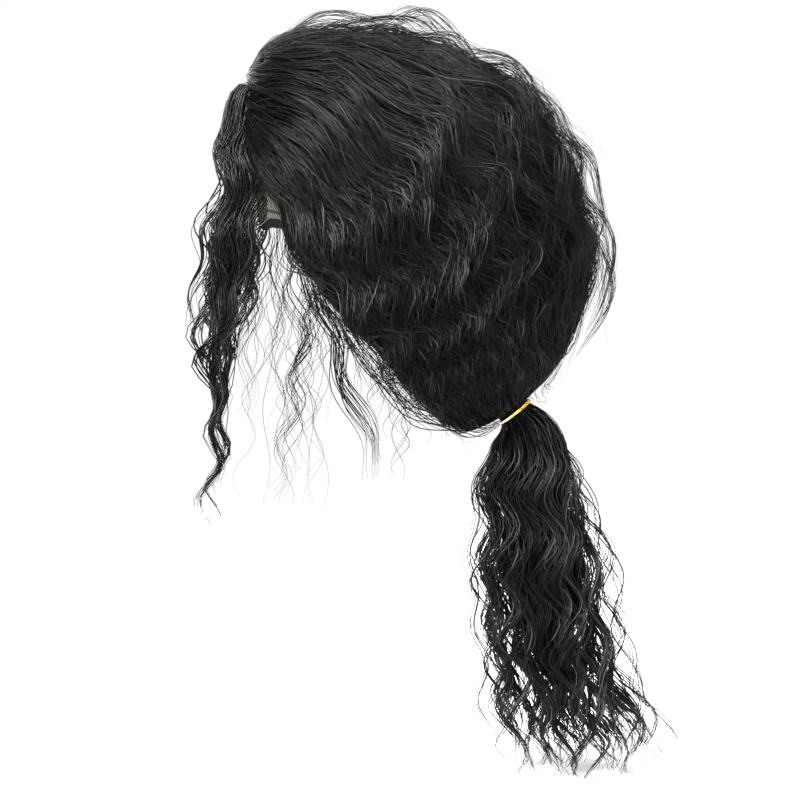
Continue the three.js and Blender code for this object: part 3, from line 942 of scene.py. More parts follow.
@dataclass
class Strands:
    """Many strands of equal point count, each a closed, tapered, three-sided tube."""

    paths: Array
    outward: Array
    widths: Array
    tones: Array

    def build(self, name: str, material: Material) -> Object:
        """Makes one mesh of all the strands.

        Args:
            name: Piece name.
            material: Its material.

        Returns:
            The new object.
        """
        count, length = self.paths.shape[:2]
        tangent = unit(np.gradient(self.paths, axis=1))
        side = unit(np.cross(tangent, self.outward))
        up = np.cross(side, tangent)
        wide = self.widths[..., None]
        rings = np.stack(
            [self.paths + side * wide * s + up * wide * u for s, u in STRAND_CORNERS], axis=2
        )
        points = (rings * MM).reshape(-1, 3)
        start = (np.arange(count)[:, None] * length + np.arange(length - 1)[None]) * 3
        a = np.arange(3)
        b = (a + 2) % 3
        first = start[..., None]
        quads = np.stack([first + a, first + 3 + a, first + 3 + b, first + b], axis=-1)
        heads = (np.arange(count) * length * 3)[:, None] + np.array([0, 2, 1])
        tails = (np.arange(count) * length * 3 + (length - 1) * 3)[:, None] + np.array([0, 1, 2])
        # Counted the other way round, so that sides and ends face out
        quads = quads[..., ::-1].reshape(-1, 4)
        heads, tails = heads[:, ::-1], tails[:, ::-1]
        loops = np.concatenate([quads.ravel(), heads.ravel(), tails.ravel()])
        quad_starts = np.arange(len(quads)) * 4
        cap_starts = len(quads) * 4 + np.arange(2 * count) * 3
        mesh = bpy.data.meshes.new(name)
        mesh.vertices.add(len(points))
        mesh.vertices.foreach_set("co", points.astype(np.float32).ravel())
        mesh.loops.add(len(loops))
        mesh.loops.foreach_set("vertex_index", loops.astype(np.int32))
        mesh.polygons.add(len(quads) + 2 * count)
        starts = np.concatenate([quad_starts, cap_starts]).astype(np.int32)
        mesh.polygons.foreach_set("loop_start", starts)
        mesh.update(calc_edges=True)
        tone = np.repeat(self.tones.ravel(), 3).astype(np.float32)
        mesh.attributes.new("tone", "FLOAT", "POINT").data.foreach_set("value", tone)
        steps = np.linalg.norm(np.diff(self.paths, axis=1), axis=-1)
        travelled = np.pad(np.cumsum(steps, axis=1), ((0, 0), (1, 0)))
        across = np.arange(count)[:, None, None] * MAP_STEP + np.array([0.2, 0.1, 0.0])
        across = np.broadcast_to(across, (count, length, 3))
        lengthways = np.broadcast_to(travelled[..., None] / MAP_LENGTH, (count, length, 3))
        uv = np.stack([across, lengthways], axis=-1).reshape(-1, 2)[loops]
        layer = mesh.uv_layers.new(name="fibre")
        layer.data.foreach_set("uv", uv.astype(np.float32).ravel())
        mesh.shade_smooth()
        mesh.materials.append(material)
        return add_object(name, mesh)


def taper(points: int, root: float, tip: float) -> Array:
    """Share of a strand's width at each point, from its root's share to its thinning tip."""
    at = np.linspace(0.0, 1.0, points)
    return (root + (1 - root) * ease(at, 0, 0.08)) * (1 - 0.75 * ease(at, 1 - tip, 1))


def round_start(paths: Array, points: int, rounds: int) -> Array:
    """Rounds the bends near the start of strands.

    Args:
        paths: The strands.
        points: Points from the start that may move.
        rounds: How often they are evened out.

    Returns:
        The strands, with their first point kept.
    """
    for _ in range(rounds):
        part = paths[:, : points + 1]
        middle = 0.25 * part[:, :-2] + 0.5 * part[:, 1:-1] + 0.25 * part[:, 2:]
        paths = np.concatenate([paths[:, :1], middle, paths[:, points:]], axis=1)
    return paths


@dataclass
class Chance:
    """Chance values for strands that stand in clumps, the same at each run."""

    seed: int
    clumps: int
    per_clump: int

    def __post_init__(self) -> None:
        """Starts the source of chance and numbers the clumps."""
        self.rng = np.random.default_rng(self.seed)
        self.count = self.clumps * self.per_clump
        self.clump = np.repeat(np.arange(self.clumps), self.per_clump)[:, None]

    def by_clump(self, low: float, high: float) -> Array:
        """One value for each clump, given to each of its strands."""
        return self.rng.uniform(low, high, self.clumps)[self.clump]

    def by_strand(self, low: float, high: float) -> Array:
        """One value for each strand."""
        return self.rng.uniform(low, high, (self.count, 1))

    def crests(self, wave: Array, points: int, start: int) -> Array:
        """Painted highlight: lighter tone where a wave turns its outer side to the light.

        Args:
            wave: Angle of the wave at each point that has one.
            points: Points along each strand.
            start: Points before the first one that has a wave.

        Returns:
            What each point adds to its tone as painted highlight.
        """
        # Painted highlight on the upslope of each wave, stronger in some clumps than in others
        crest = ease(np.cos(wave + 0.8), 0.25, 1.0) * self.by_clump(0.1, 1) ** 1.5
        after = points - start - wave.shape[1]
        return np.pad(crest * self.by_strand(0.4, 1), ((0, 0), (start, after)))

    def tones(self, points: int, light: float = 1.0) -> Array:
        """Tones of the strands' points: most dark, a few clumps and strands light."""
        base = 0.45 * self.by_clump(0, 1) ** 2 + 0.65 * self.by_strand(0, 1) ** 2.5
        return np.repeat(light * base, points, axis=1)


@dataclass
class HeadHair:
    """One of the three bodies of hair on the head, as clumps of waved strands."""

    name: str
    side: Side
    locks: int
    clumps: int
    per_clump: int
    seed: int
    points: int = 52
    root_spread: float = 0.05
    drift: float = 0.0
    # Part of the body that the clumps fill at the tie, from its first edge to its last
    span: Pair = (0.0, 1.0)
    form: HairForm = HairForm()
    strand_width: float = 0.64
    clump_depth: float = 6.5
    free_share: float = 0.17  # of the strands that end before the tie
    curl_size: Pair = (1.8, 4.4)
    curl_length: Pair = (36.0, 54.0)
    twist_length: float = 26.0  # mm for each radian of a clump's twist
    stray: float = 14.0  # farthest that a strand leaves its clump
    highest: float = 11.0  # above the smooth form
    edge_rise: float = 4.0  # of the swept hair's edges over its middle

    def __post_init__(self) -> None:
        """Finds how far round the body hair lies, at each angle along the flow."""
        self.stations = np.linspace(radians(1.5), self.form.gather_angle, 70)
        across = np.linspace(0.0, 1.0, 80)[None]
        along = np.repeat(self.stations[:, None], 80, axis=1)
        low, high = self.limits(along)
        spots = self.form.direction(along, low + (high - low) * across)
        away = self.form.reach(spots) - self.form.ridge_height / 2
        away = np.maximum(away, self.form.cap_reach(spots))
        shut = self.form.open_at(self.form.centre + spots * away[..., None])
        last = np.where(shut.any(1), np.argmax(shut, axis=1) / 79.0, 1.0)
        if self.side is Side.MIDDLE:
            last = np.ones_like(last)
        last = np.where(last < 1, np.clip(last - 0.03, 0.12, 1.0), 1.0)
        padded = np.pad(last, 4, mode="edge")
        self.filled = np.convolve(padded, np.full(9, 1 / 9), mode="valid")

    def fill(self, along: Array) -> Array:
        """Share of the body's width that has hair; the rest is the face and neck opening."""
        return np.interp(along, self.stations, self.filled)

    def limits(self, along: Array) -> tuple[Array, Array]:
        """Angles round the flow between which the body lies.

        Args:
            along: Angle along the flow.

        Returns:
            The first and the last angle.
        """
        edge = self.form.swept_edge(along)
        if self.side is Side.MIDDLE:
            return -edge, edge
        sign = self.side.value
        return sign * edge, np.full_like(edge, sign * pi)

    def place(self, along: Array, middle: Array) -> Array:
        """Place across the body, from 0 to 1, of a clump on its way from the part to the tie."""
        drawn = middle - self.drift * self.early(along) * (1 - np.clip(middle, 0, 1))
        return drawn * self.fill(along)

    def early(self, along: Array) -> Array:
        """Share of the drift that a clump still has to make up on its way to the tie."""
        return 1 - ease(along, radians(6), radians(148))

    def relief(self, at: Array) -> Array:
        """Share of the ridge height over the body's main locks.

        Args:
            at: Place across the body, from 0 to 1.

        Returns:
            The share at each place.
        """
        places, crests = [], []
        for lock in range(self.locks):
            places += [lock, lock + 0.3, lock + 0.68]
            crests += [0.0, 0.95 + 0.1 * sin(lock * 2.4), 0.8 + 0.15 * cos(lock * 3.1)]
        return np.interp(at * self.locks, [*places, self.locks], [*crests, 0.0])

    def height(self, along: Array, place: Array, psi: Array) -> Array:
        """Distance from the hair's centre to the body's surface.

        Args:
            along: Angle along the flow.
            place: Place across the body, from 0 to 1.
            psi: Angle round the flow with the waves.

        Returns:
            The distance at each place.
        """
        form = self.form
        fade = np.maximum(np.sin(along), 0) ** 0.7
        crest = self.relief(np.clip(place, 0, 1))
        smooth = form.reach(form.direction(along, psi))
        height = smooth - form.ridge_height * (1 - crest * fade)
        if self.side is Side.MIDDLE:
            # The swept hair's edges lie thick over the side hair; its top lies flatter, under
            # the arches
            height = height - form.sink(along, psi) - 1.6 * fade
            return height + self.edge_rise * fade * ease(np.abs(place - 0.5), 0.36, 0.47)
        height = height - form.sink(along, psi)
        under = 1 - ease(place, 0.0, 0.22)
        return height - (form.lip_drop + 1.5) * fade * under - 6 * ease(-place, 0.0, 0.06)

    def starts(self, middle: Array) -> Array:
        """Angle along the flow at which hair begins, past the seam with the swept hair.

        Args:
            middle: Each strand's place across the body at the tie.

        Returns:
            The angle for each strand.
        """
        form, steps = self.form, 120
        along = np.linspace(radians(1.5), form.gather_angle, steps)[None]
        along = np.broadcast_to(along, (len(middle), steps))
        shut = self.place(along, middle) < -0.08
        last = np.where(shut.any(1), steps - 1 - np.argmax(shut[:, ::-1], axis=1), 0)
        return along[np.arange(len(middle)), np.minimum(last + 1, steps - 1)][:, None]

    def grow(self) -> Strands:
        """Strands of the body, from its front edge to the tie."""
        form, chance = self.form, Chance(self.seed, self.clumps, self.per_clump)
        first, last = self.span
        middle = (chance.clump + 0.5 + chance.by_clump(-0.32, 0.32)) / self.clumps
        middle = first + (last - first) * middle
        out = np.sqrt(chance.by_strand(0, 1))
        turn = chance.by_strand(0, 2 * pi)
        spread = 0.66 * chance.by_clump(0.6, 1.3) / self.clumps * (last - first)
        begin = self.starts(np.clip(middle + spread * out * np.cos(turn) * 0.6, 0.004, 0.996))
        room = form.gather_angle - begin
        begin = begin + chance.by_strand(0, 1) ** 1.4 * self.root_spread * room
        free = chance.by_strand(0, 1) < self.free_share
        room = form.gather_angle - begin
        end = begin + room * np.where(free, chance.by_strand(0.35, 0.85), 1.0)
        share = np.linspace(0, 1, self.points - 3)[None]
        along = begin + (end - begin) * share
        low, high = self.limits(along)
        place = self.place(along, middle)
        flat = low + (high - low) * place
        radius = form.reach(form.direction(along, flat))
        travelled = radius * along
        around = np.maximum(radius * np.sin(along), 4.0)
        gather = ease(form.gather_angle - along, 0.0, 0.4)
        # Waves: the main lock's, and the clump's own, which each strand follows nearly in step.
        # Near the part the hair is drawn straight.
        drawn = (0.35 + 0.75 * ease(along, 0.35, 1.3)) * np.sin(along) * gather**0.5
        late = chance.by_clump(-0.7, 0.7)
        strength = chance.by_clump(0.7, 1.4)
        sway = form.sway(along, flat, radius, late) * strength
        crimp = form.sway(along, flat, radius, late + pi / 2) * strength * 0.62
        phase = chance.by_clump(0, 2 * pi) + chance.by_strand(-0.35, 0.35)
        size = chance.by_clump(*self.curl_size) * chance.by_strand(0.75, 1.25)
        curl = 2 * pi * travelled / chance.by_clump(*self.curl_length) + phase
        stray = chance.by_strand(0, 1) ** 4.5 * self.stray
        bend = 2 * pi * travelled / chance.by_strand(60, 150) + turn
        wander = chance.by_clump(0, 8) * np.sin(
            2 * pi * travelled / chance.by_clump(140, 260) + chance.by_clump(0, FULL_TURN)
        )
        shift = (sway + size * np.sin(curl) + stray * np.sin(bend) + wander) * drawn
        twist = turn + chance.by_clump(-1, 1) * travelled / self.twist_length
        swell = 1 + 0.28 * np.sin(2 * pi * travelled / chance.by_clump(55, 95) + phase)
        fanned = (1 + self.drift * self.early(along)) * self.fill(along)
        offset = (high - low) * spread * out * swell * np.cos(twist) * fanned
        psi = flat + offset + shift / around
        if self.side is not Side.MIDDLE:
            sign = self.side.value
            psi = sign * np.minimum(sign * psi, pi + 0.06)
        level = chance.by_clump(-3.0, 3.0)
        rise = out * swell * np.sin(twist) * self.clump_depth / 2 + level
        rise = rise + crimp + 0.75 * size * np.cos(curl) + 0.25 * stray
        root = (1 - ease(share, 0.0, 0.1)) * ease(begin, 0.3, 0.7)
        front = 1 - ease(along, 0.1, 0.5)
        lift = chance.by_strand(2, 12) * ease(share, 0.5, 1.0) ** 1.5 * free
        height = self.height(along, place, psi) + 1.4 * ease(along, 2.5, 2.8) - 0.8
        height = height + rise * gather * np.sin(along) ** 0.5 + lift
        height = np.minimum(height, form.reach(form.direction(along, psi)) + self.highest)
        over_cap = form.cap_reach(form.direction(along, psi)) + 1.2 + 1.5 * out
        height = np.maximum(height + 3.2 * front, over_cap) - 3.0 * root
        paths = form.centre + form.direction(along, psi) * height[..., None]
        paths = self.through_tie(paths, psi[:, -1], free, chance.by_strand(0.35, 1.0))
        squeeze = np.concatenate([0.42 + 0.58 * gather, np.full((chance.count, 3), 0.42)], axis=1)
        ends = np.where(free, taper(self.points, 0.5, 0.3), taper(self.points, 0.5, 0.02))
        widths = self.strand_width * chance.by_strand(0.5, 1.35) * squeeze * ends
        outward = unit(paths - form.centre)
        # Painted highlights, as lighter tone, lie on the main locks' crests, nearly in step from
        # lock to lock
        lock = form.wave_angle(along, flat, radius) + late
        painted_sheen = 0.65 * chance.crests(lock, self.points, 0)
        painted_sheen = painted_sheen + 0.35 * chance.crests(curl, self.points, 0)
        # The painted highlights are weaker near the front of the flow, and halved on the swept hair
        painted_sheen_reach = ease(along, 0.35, 1.0) * (0.5 if self.side is Side.MIDDLE else 1.0)
        painted_sheen[:, : self.points - 3] *= painted_sheen_reach
        # The strands' tone carries the painted highlights on top of their own random tone
        tones = 0.52 * chance.tones(self.points) + painted_sheen
        return Strands(paths, outward, np.maximum(widths, THINNEST), tones)

    def through_tie(self, paths: Array, psi: Array, free: Array, share: Array) -> Array:
        """Carries the strands on through the tie, or a free one to its curled end.

        Args:
            paths: Strands as far as the tie.
            psi: Angle round the flow at each strand's end.
            free: Whether the strand ends free.
            share: How far from the ring's middle it passes, from 0 to 1.

        Returns:
            The paths with three points more.
        """
        form = self.form
        inner = form.tie_radius - form.tie_thickness / 2 - 0.7
        radial = form.spoke(psi)
        more = []
        step = paths[:, -1] - paths[:, -2]
        for i, (ahead, ring) in enumerate([(-1.5, 1.0), (2.0, 0.96), (9.0, 0.9)]):
            spot = form.tie_centre + form.axis * ahead
            through = spot + radial * inner * ring * (0.3 + 0.7 * share)
            loose = paths[:, -1] + step * (i + 1) * 0.8
            more.append(np.where(free, loose, through))
        return np.concatenate([paths, np.stack(more, axis=1)], axis=1)


@dataclass
class TailHair:
    """Strands of the ponytail, in long waved clumps that end in points."""

    name: str
    clumps: int
    per_clump: int
    shell: Pair
    seed: int
    wave_size: Pair = (3.6, 7.5)
    wave_length: Pair = (50.0, 60.0)
    girth: Pair = (3.6, 7.4)
    twist_length: float = 26.0  # mm for each radian of a clump's twist
    stray: float = 9.0  # farthest that a strand leaves its clump
    splay_reach: float = 46.0  # of the hindmost tips
    form: TailForm = TailForm()
    points: int = 44
    strand_width: float = 1.0

    def grow(self) -> Strands:
        """Strands from inside the tie down to their tips."""
        form, hair = self.form, self.form.hair
        chance = Chance(self.seed, self.clumps, self.per_clump)
        turn = 2 * pi * (chance.clump + chance.by_clump(-0.35, 0.35)) / self.clumps
        shell = chance.by_clump(*self.shell)
        tip = 1.05 - 0.13 * chance.by_clump(0, 1) ** 2
        end = tip * (1 - 0.08 * chance.by_strand(0, 1) ** 2)
        share = np.linspace(0, 1, self.points - 2)[None]
        fall = end * (share * 0.85 + 0.15 * share**2) + 0.012
        down = fall * form.length
        flat = np.ones_like(fall)
        wider = 1 + 0.5 * ease(fall, 0.68, 1.0)
        # Loose locks leave the mass only below its first wave
        girded = 1 - np.maximum(1 - 0.92 / shell, 0) * (1 - ease(fall, 0.1, 0.3))
        centre = form.point(fall, turn * flat, shell * wider * girded)
        radial = np.stack([np.sin(turn), np.cos(turn), 0 * turn], axis=-1)
        across = np.stack([np.cos(turn), -np.sin(turn), 0 * turn], axis=-1)
        loose = ease(fall, 0.02, 0.2)
        # Neighbouring locks wave nearly in step
        phase = 1.3 * np.sin(turn) + chance.by_clump(-0.75, 0.75) + chance.by_strand(-0.16, 0.16)
        size = chance.by_clump(*self.wave_size) * chance.by_strand(0.88, 1.12) * loose
        size = size * (1 + 0.3 * ease(fall, 0.4, 1.0))
        curl = 2 * pi * down / chance.by_clump(*self.wave_length) + phase
        girth = chance.by_clump(*self.girth) * (0.35 + 0.65 * ease(fall, 0.0, 0.15))
        girth = girth * (1 - 0.5 * ease(fall, 0.5, 0.8))
        girth = girth * (1 - 0.6 * ease(fall / tip, 0.84, 1.02))
        ring = np.sqrt(chance.by_strand(0, 1))
        twist = chance.by_strand(0, 2 * pi)
        twist = twist + chance.by_clump(-1, 1) * down / self.twist_length
        stray = chance.by_strand(0, 1) ** 5 * self.stray * loose
        bend = 2 * pi * down / chance.by_strand(60, 130) + twist[:, :1]
        sideways = size * np.sin(curl) + girth * ring * np.cos(twist) + stray * np.sin(bend)
        outwards = 0.6 * size * np.cos(curl) + 0.7 * girth * ring * np.sin(twist) + 0.5 * stray
        neck = ease(fall, 0.0, 0.08)[..., None]
        paths = centre + (across * sideways[..., None] + radial * outwards[..., None]) * neck
        # The hindmost tips splay back
        splay = np.maximum(np.cos(turn), 0) ** 2 * chance.by_clump(0.0, 1.0) ** 1.6
        paths[..., 1] += splay * self.splay_reach * ease(fall, 0.72, 1.03) ** 1.5
        inside = (hair.tie_radius - 2.0) * (0.25 + 0.7 * np.minimum(shell, 1))
        inside = inside * chance.by_strand(0.7, 1.0)
        spoke = hair.spoke(turn[:, 0])
        roots = [
            hair.tie_centre + hair.axis * ahead + spoke * inside * narrow
            for ahead, narrow in ((-6.0, 0.9), (0.5, 1.0))
        ]
        paths = round_start(np.concatenate([np.stack(roots, axis=1), paths], axis=1), 6, 3)
        outward = np.repeat(radial, self.points, axis=1)
        widths = self.strand_width * chance.by_strand(0.6, 1.3) * taper(self.points, 0.5, 0.16)
        # Painted highlights on the waves' crests are added to the strands' random tone
        tones = 0.7 * chance.tones(self.points) + 0.6 * chance.crests(curl, self.points, 2)
        return Strands(paths, outward, np.maximum(widths, THINNEST), tones)


@dataclass
class ForelockHair:
    """Strands of one forelock, waved and wound loosely round each other."""

    name: str
    side: Side
    seed: int
    clumps: int = 17
    per_clump: int = 10
    form: ForelockForm = ForelockForm()
    points: int = 38
    strand_width: float = 0.95
    curl_size: Pair = (1.8, 4.8)
    curl_length: Pair = (46.0, 60.0)
    girth: Pair = (2.2, 4.6)
    twist_length: float = 22.0  # mm for each radian of a clump's twist
    stray: float = 10.0  # farthest that a strand leaves its clump
    last_curls: float = 5.0  # how far the last two thick curls are moved
    parting: Triple = (30.0, -78.0, -36.0)

    def grow(self) -> Strands:
        """Strands from the hairline down to their tips."""
        form, chance = self.form, Chance(self.seed, self.clumps, self.per_clump)
        tip = chance.by_clump(0.0, 1.0) ** 4 * 0.4 + 0.56
        tip = np.where(chance.clump < 2, 1.03 - 0.08 * chance.clump, tip)
        end = tip * (1 - 0.07 * chance.by_strand(0, 1) ** 2)
        share = np.linspace(0, 1, self.points - 3)[None]
        fall = end * share
        down = fall * form.length
        spread = chance.by_clump(0.02, 0.46) * np.ones_like(fall)
        # The locks wind round each other only in the lower part
        upper = (1 - ease(fall, 0.4, 0.75)) * np.gradient(down, axis=1)
        winding = chance.by_clump(-0.8, 0.5) * down / 60.0
        winding = winding - 2 * pi * np.cumsum(upper, axis=1) / form.turn_length
        begin = 2 * pi * (chance.clump * 5 % self.clumps + 0.5) / self.clumps
        centre = form.point(self.side.value, fall, begin + winding, spread)
        phase = chance.by_clump(-1.0, 1.0) + chance.by_strand(-0.14, 0.14) + self.seed
        curl = 2 * pi * down / chance.by_clump(*self.curl_length) + phase
        size = chance.by_clump(*self.curl_size) * ease(fall, -0.02, 0.14)
        size = size * (1 - 0.6 * ease(fall, 0.6, 0.78))
        girth = chance.by_clump(*self.girth) * (1 - 0.7 * ease(fall / tip, 0.6, 1.0))
        girth = girth * (1 - 0.35 * ease(fall, 0.62, 0.75))
        ring = np.sqrt(chance.by_strand(0, 1))
        turn = chance.by_strand(0, FULL_TURN) + down / self.twist_length
        stray = chance.by_strand(0, 1) ** 7 * self.stray * ease(fall, 0.0, 0.15)
        bend = 2 * pi * down / chance.by_strand(50, 110) + turn[:, :1]
        paths = centre.copy()
        paths[..., 1] += size * np.sin(curl) + girth * ring * np.cos(turn) + stray * np.sin(bend)
        paths[..., 0] += 0.6 * size * np.cos(curl) + 0.7 * girth * ring * np.sin(turn)
        # Of its two last thick curls the front one lies close and the back one stands out
        front, back = (ease(sign * np.cos(begin), 0.1, 0.8) for sign in (-1, 1))
        paths[..., 1] += self.last_curls * front * np.exp(-(((fall - 0.57) / 0.09) ** 2))
        paths[..., 1] += self.last_curls * back * np.exp(-(((fall - 0.605) / 0.06) ** 2))
        # All of it rises from the parting just behind the hairline
        root = paths[:, 0]
        parting = np.array(self.parting) * [self.side.value, 1, 1]
        first = [
            parting + (root - root.mean(0)) * np.array([1.5, 0.6, 0.3]),
            root * 0.4 + parting * 0.6 + np.array([0.0, -1.0, 17.0]),
            root * 0.78 + parting * 0.22 + np.array([0.0, -2.0, 12.0]),
        ]
        paths = round_start(np.concatenate([np.stack(first, axis=1), paths], axis=1), 6, 2)
        outward = np.zeros_like(paths) + np.array([float(self.side.value), -0.3, 0.0])
        widths = self.strand_width * chance.by_strand(0.5, 1.3) * taper(self.points, 0.5, 0.3)
        # Painted highlights on the waves' crests are added to the strands' random tone
        tones = 0.7 * chance.tones(self.points) + 0.6 * chance.crests(curl, self.points, 3)
        return Strands(paths, outward, np.maximum(widths, THINNEST), tones)


@dataclass
class Arches:
    """Loose locks that stand in open arches over the swept hair."""

    name: str = "crown_arches"
    seed: int = 41
    per_lock: int = 20
    points: int = 24
    form: HairForm = HairForm()
    # Angle from the middle, start and end along the flow, in degrees; height of the arch and
    # of its far end above the hair, and width, in millimetres
    locks: tuple[tuple[float, float, float, float, float, float], ...] = (
        (4, 12, 38, 8, -4, 17), (-5, 38, 59, 14.5, -4, 13), (24, 50, 92, 8, -4, 18),
        (-22, 62, 98, 8, -4, 17), (6, 88, 122, 8, 2, 16), (-9, 110, 146, 6, 8, 15),
        (2, 60, 84, 8, -4, 14), (30, 96, 128, 7, 3, 14), (14, 24, 52, 7.5, -4, 15),
        (-8, 78, 104, 8, 1, 14), (10, 122, 152, 7, 7, 14), (-20, 98, 132, 8, 6, 14),
    )

    def grow(self) -> Strands:
        """Strands of all the arches."""
        form, chance = self.form, Chance(self.seed, len(self.locks), self.per_lock)
        psi, first, last, lift, tip, width = (
            np.array(column)[chance.clump] for column in zip(*self.locks)
        )
        share = np.linspace(0, 1, self.points)[None]
        first = first + chance.by_strand(-4, 3)
        last = last + chance.by_strand(-5, 6)
        along = np.radians(first + (last - first) * share)
        apart = chance.by_strand(-1, 1)
        narrow = 0.5 + 0.5 * np.sin(pi * share)
        phase = chance.by_clump(0, FULL_TURN) + chance.by_strand(-0.5, 0.5)
        wave = 2.2 * np.sin(2 * pi * share * chance.by_clump(1.0, 1.8) + phase)
        radius = form.reach(form.direction(along, np.radians(psi) * np.ones_like(along)))
        around = radius * np.sin(along)
        turn = np.radians(psi + 4 * np.sin(share * 2 * pi))
        turn = turn + (apart * width / 2 * narrow + wave) / around
        arch = np.sin(pi * share) ** chance.by_strand(0.8, 1.3)
        near = 1 - 0.5 * chance.by_strand(0, 1) ** 2.5
        rise = (lift + 3.5) * arch * near - 6.5 + (tip + 6.5) * share
        heading = form.direction(along, turn)
        paths = form.centre + heading * (form.reach(heading) + rise - 0.5)[..., None]
        widths = 0.6 * chance.by_strand(0.5, 1.3) * taper(self.points, 0.5, 0.3)
        return Strands(paths, heading, np.maximum(widths, THINNEST), chance.tones(self.points))


@dataclass
class Frizz:
    """Fine stray hairs that lift off the head hair all round."""

    name: str = "stray_hairs"
    seed: int = 51
    count: int = 228
    points: int = 26
    radius: float = 130.0  # mean distance of the hair from its centre
    length: Pair = (45.0, 130.0)
    lean: float = 26.0
    lift: float = 11.0
    form: HairForm = HairForm()

    def grow(self) -> Strands:
        """The stray hairs."""
        form, chance = self.form, Chance(self.seed, 1, self.count)
        begin = np.radians(chance.by_strand(12, 150))
        psi = np.radians(chance.by_strand(-165, 165))
        length = chance.by_strand(*self.length)
        share = np.linspace(0, 1, self.points)[None]
        along = begin + length / self.radius * share
        curl = 2 * pi * length * share / chance.by_strand(26, 60)
        curl = curl + chance.by_strand(0, FULL_TURN)
        around = self.radius * np.sin(np.clip(along, 0.3, 2.8))
        lean = chance.by_strand(-1, 1) ** 3 * self.lean * share
        loose = ease(share, 0.0, 0.5)
        turn = psi + (chance.by_strand(1.5, 5.0) * np.sin(curl) * loose + lean) / around
        lift = chance.by_strand(0, 1) ** 1.6 * self.lift + 1.5
        rise = -2.5 + (lift + 2.5) * share ** chance.by_strand(0.5, 1.3)
        rise = rise + chance.by_strand(0.5, 2.5) * np.cos(curl) * loose
        along = np.minimum(along, form.gather_angle - 0.12)
        heading = form.direction(along, turn)
        surface = np.maximum(form.reach(heading), form.cap_reach(heading) + 2)
        paths = form.centre + heading * (surface + rise)[..., None]
        keep = ~form.open_at(form.centre + heading * (surface - 2)[..., None]).any(1)
        widths = 0.4 * chance.by_strand(0.7, 1.4) * taper(self.points, 0.6, 0.5)
        tones = chance.tones(self.points, 0.8)
        widths = np.maximum(widths, THINNEST_SINGLE)
        return Strands(paths[keep], heading[keep], widths[keep], tones[keep])


@dataclass
class HairlineHair:
    """Short hairs that rise from the middle of the hairline and are combed back."""

    name: str = "hairline_hair"
    seed: int = 81
    clumps: int = 28
    per_clump: int = 4
    half_width: float = 36.0
    points: int = 12
    form: HairForm = HairForm()

    def grow(self) -> Strands:
        """Hairs from the edge over the brow, back over the ends of the head hair."""
        form, chance = self.form, Chance(self.seed, self.clumps, self.per_clump)
        spot = 2 * (chance.clump + 0.5 + chance.by_strand(-0.9, 0.9)) / self.clumps - 1
        out = spot * self.half_width
        outs, drops = zip(*form.curtain)
        edge = np.interp(np.abs(out) / form.head.half_breadth, outs, drops)
        down = chance.by_strand(-1, 4) - edge * form.head.crown_height
        root = np.stack([out, np.full_like(out, -form.head.half_length), down], axis=-1)
        start = unit(root - form.centre)
        along = np.radians(26 + 20 * np.abs(spot) + chance.by_strand(-6, 10))
        finish = form.direction(along, np.radians(108 * spot + chance.by_clump(-6, 6)))
        share = np.linspace(0, 1, self.points)[None]
        heading = unit(start + (finish - start) * share[..., None])
        wave = 2 * pi * share * chance.by_clump(0.7, 1.3) + chance.by_clump(0, FULL_TURN)
        aside = unit(np.cross(start, finish)) * (np.sin(wave) * share)[..., None]
        heading = unit(heading + 0.016 * aside)
        risen = ease(share, 0.0, 0.4) * (1 - ease(share, 0.75, 1.0))
        low = np.maximum(form.cap_reach(heading) + 1.0, form.reach(heading) - 5.5)
        high = form.reach(heading) - 2.2 + chance.by_strand(0, 2.5)
        radius = np.where(share < 0.5, low, high - 6.0) * (1 - risen) + high * risen
        widths = 0.85 * chance.by_strand(0.6, 1.3) * taper(self.points, 0.6, 0.35)
        paths = form.centre + heading * radius[..., None]
        return Strands(paths, heading, widths, chance.tones(self.points, 0.6))


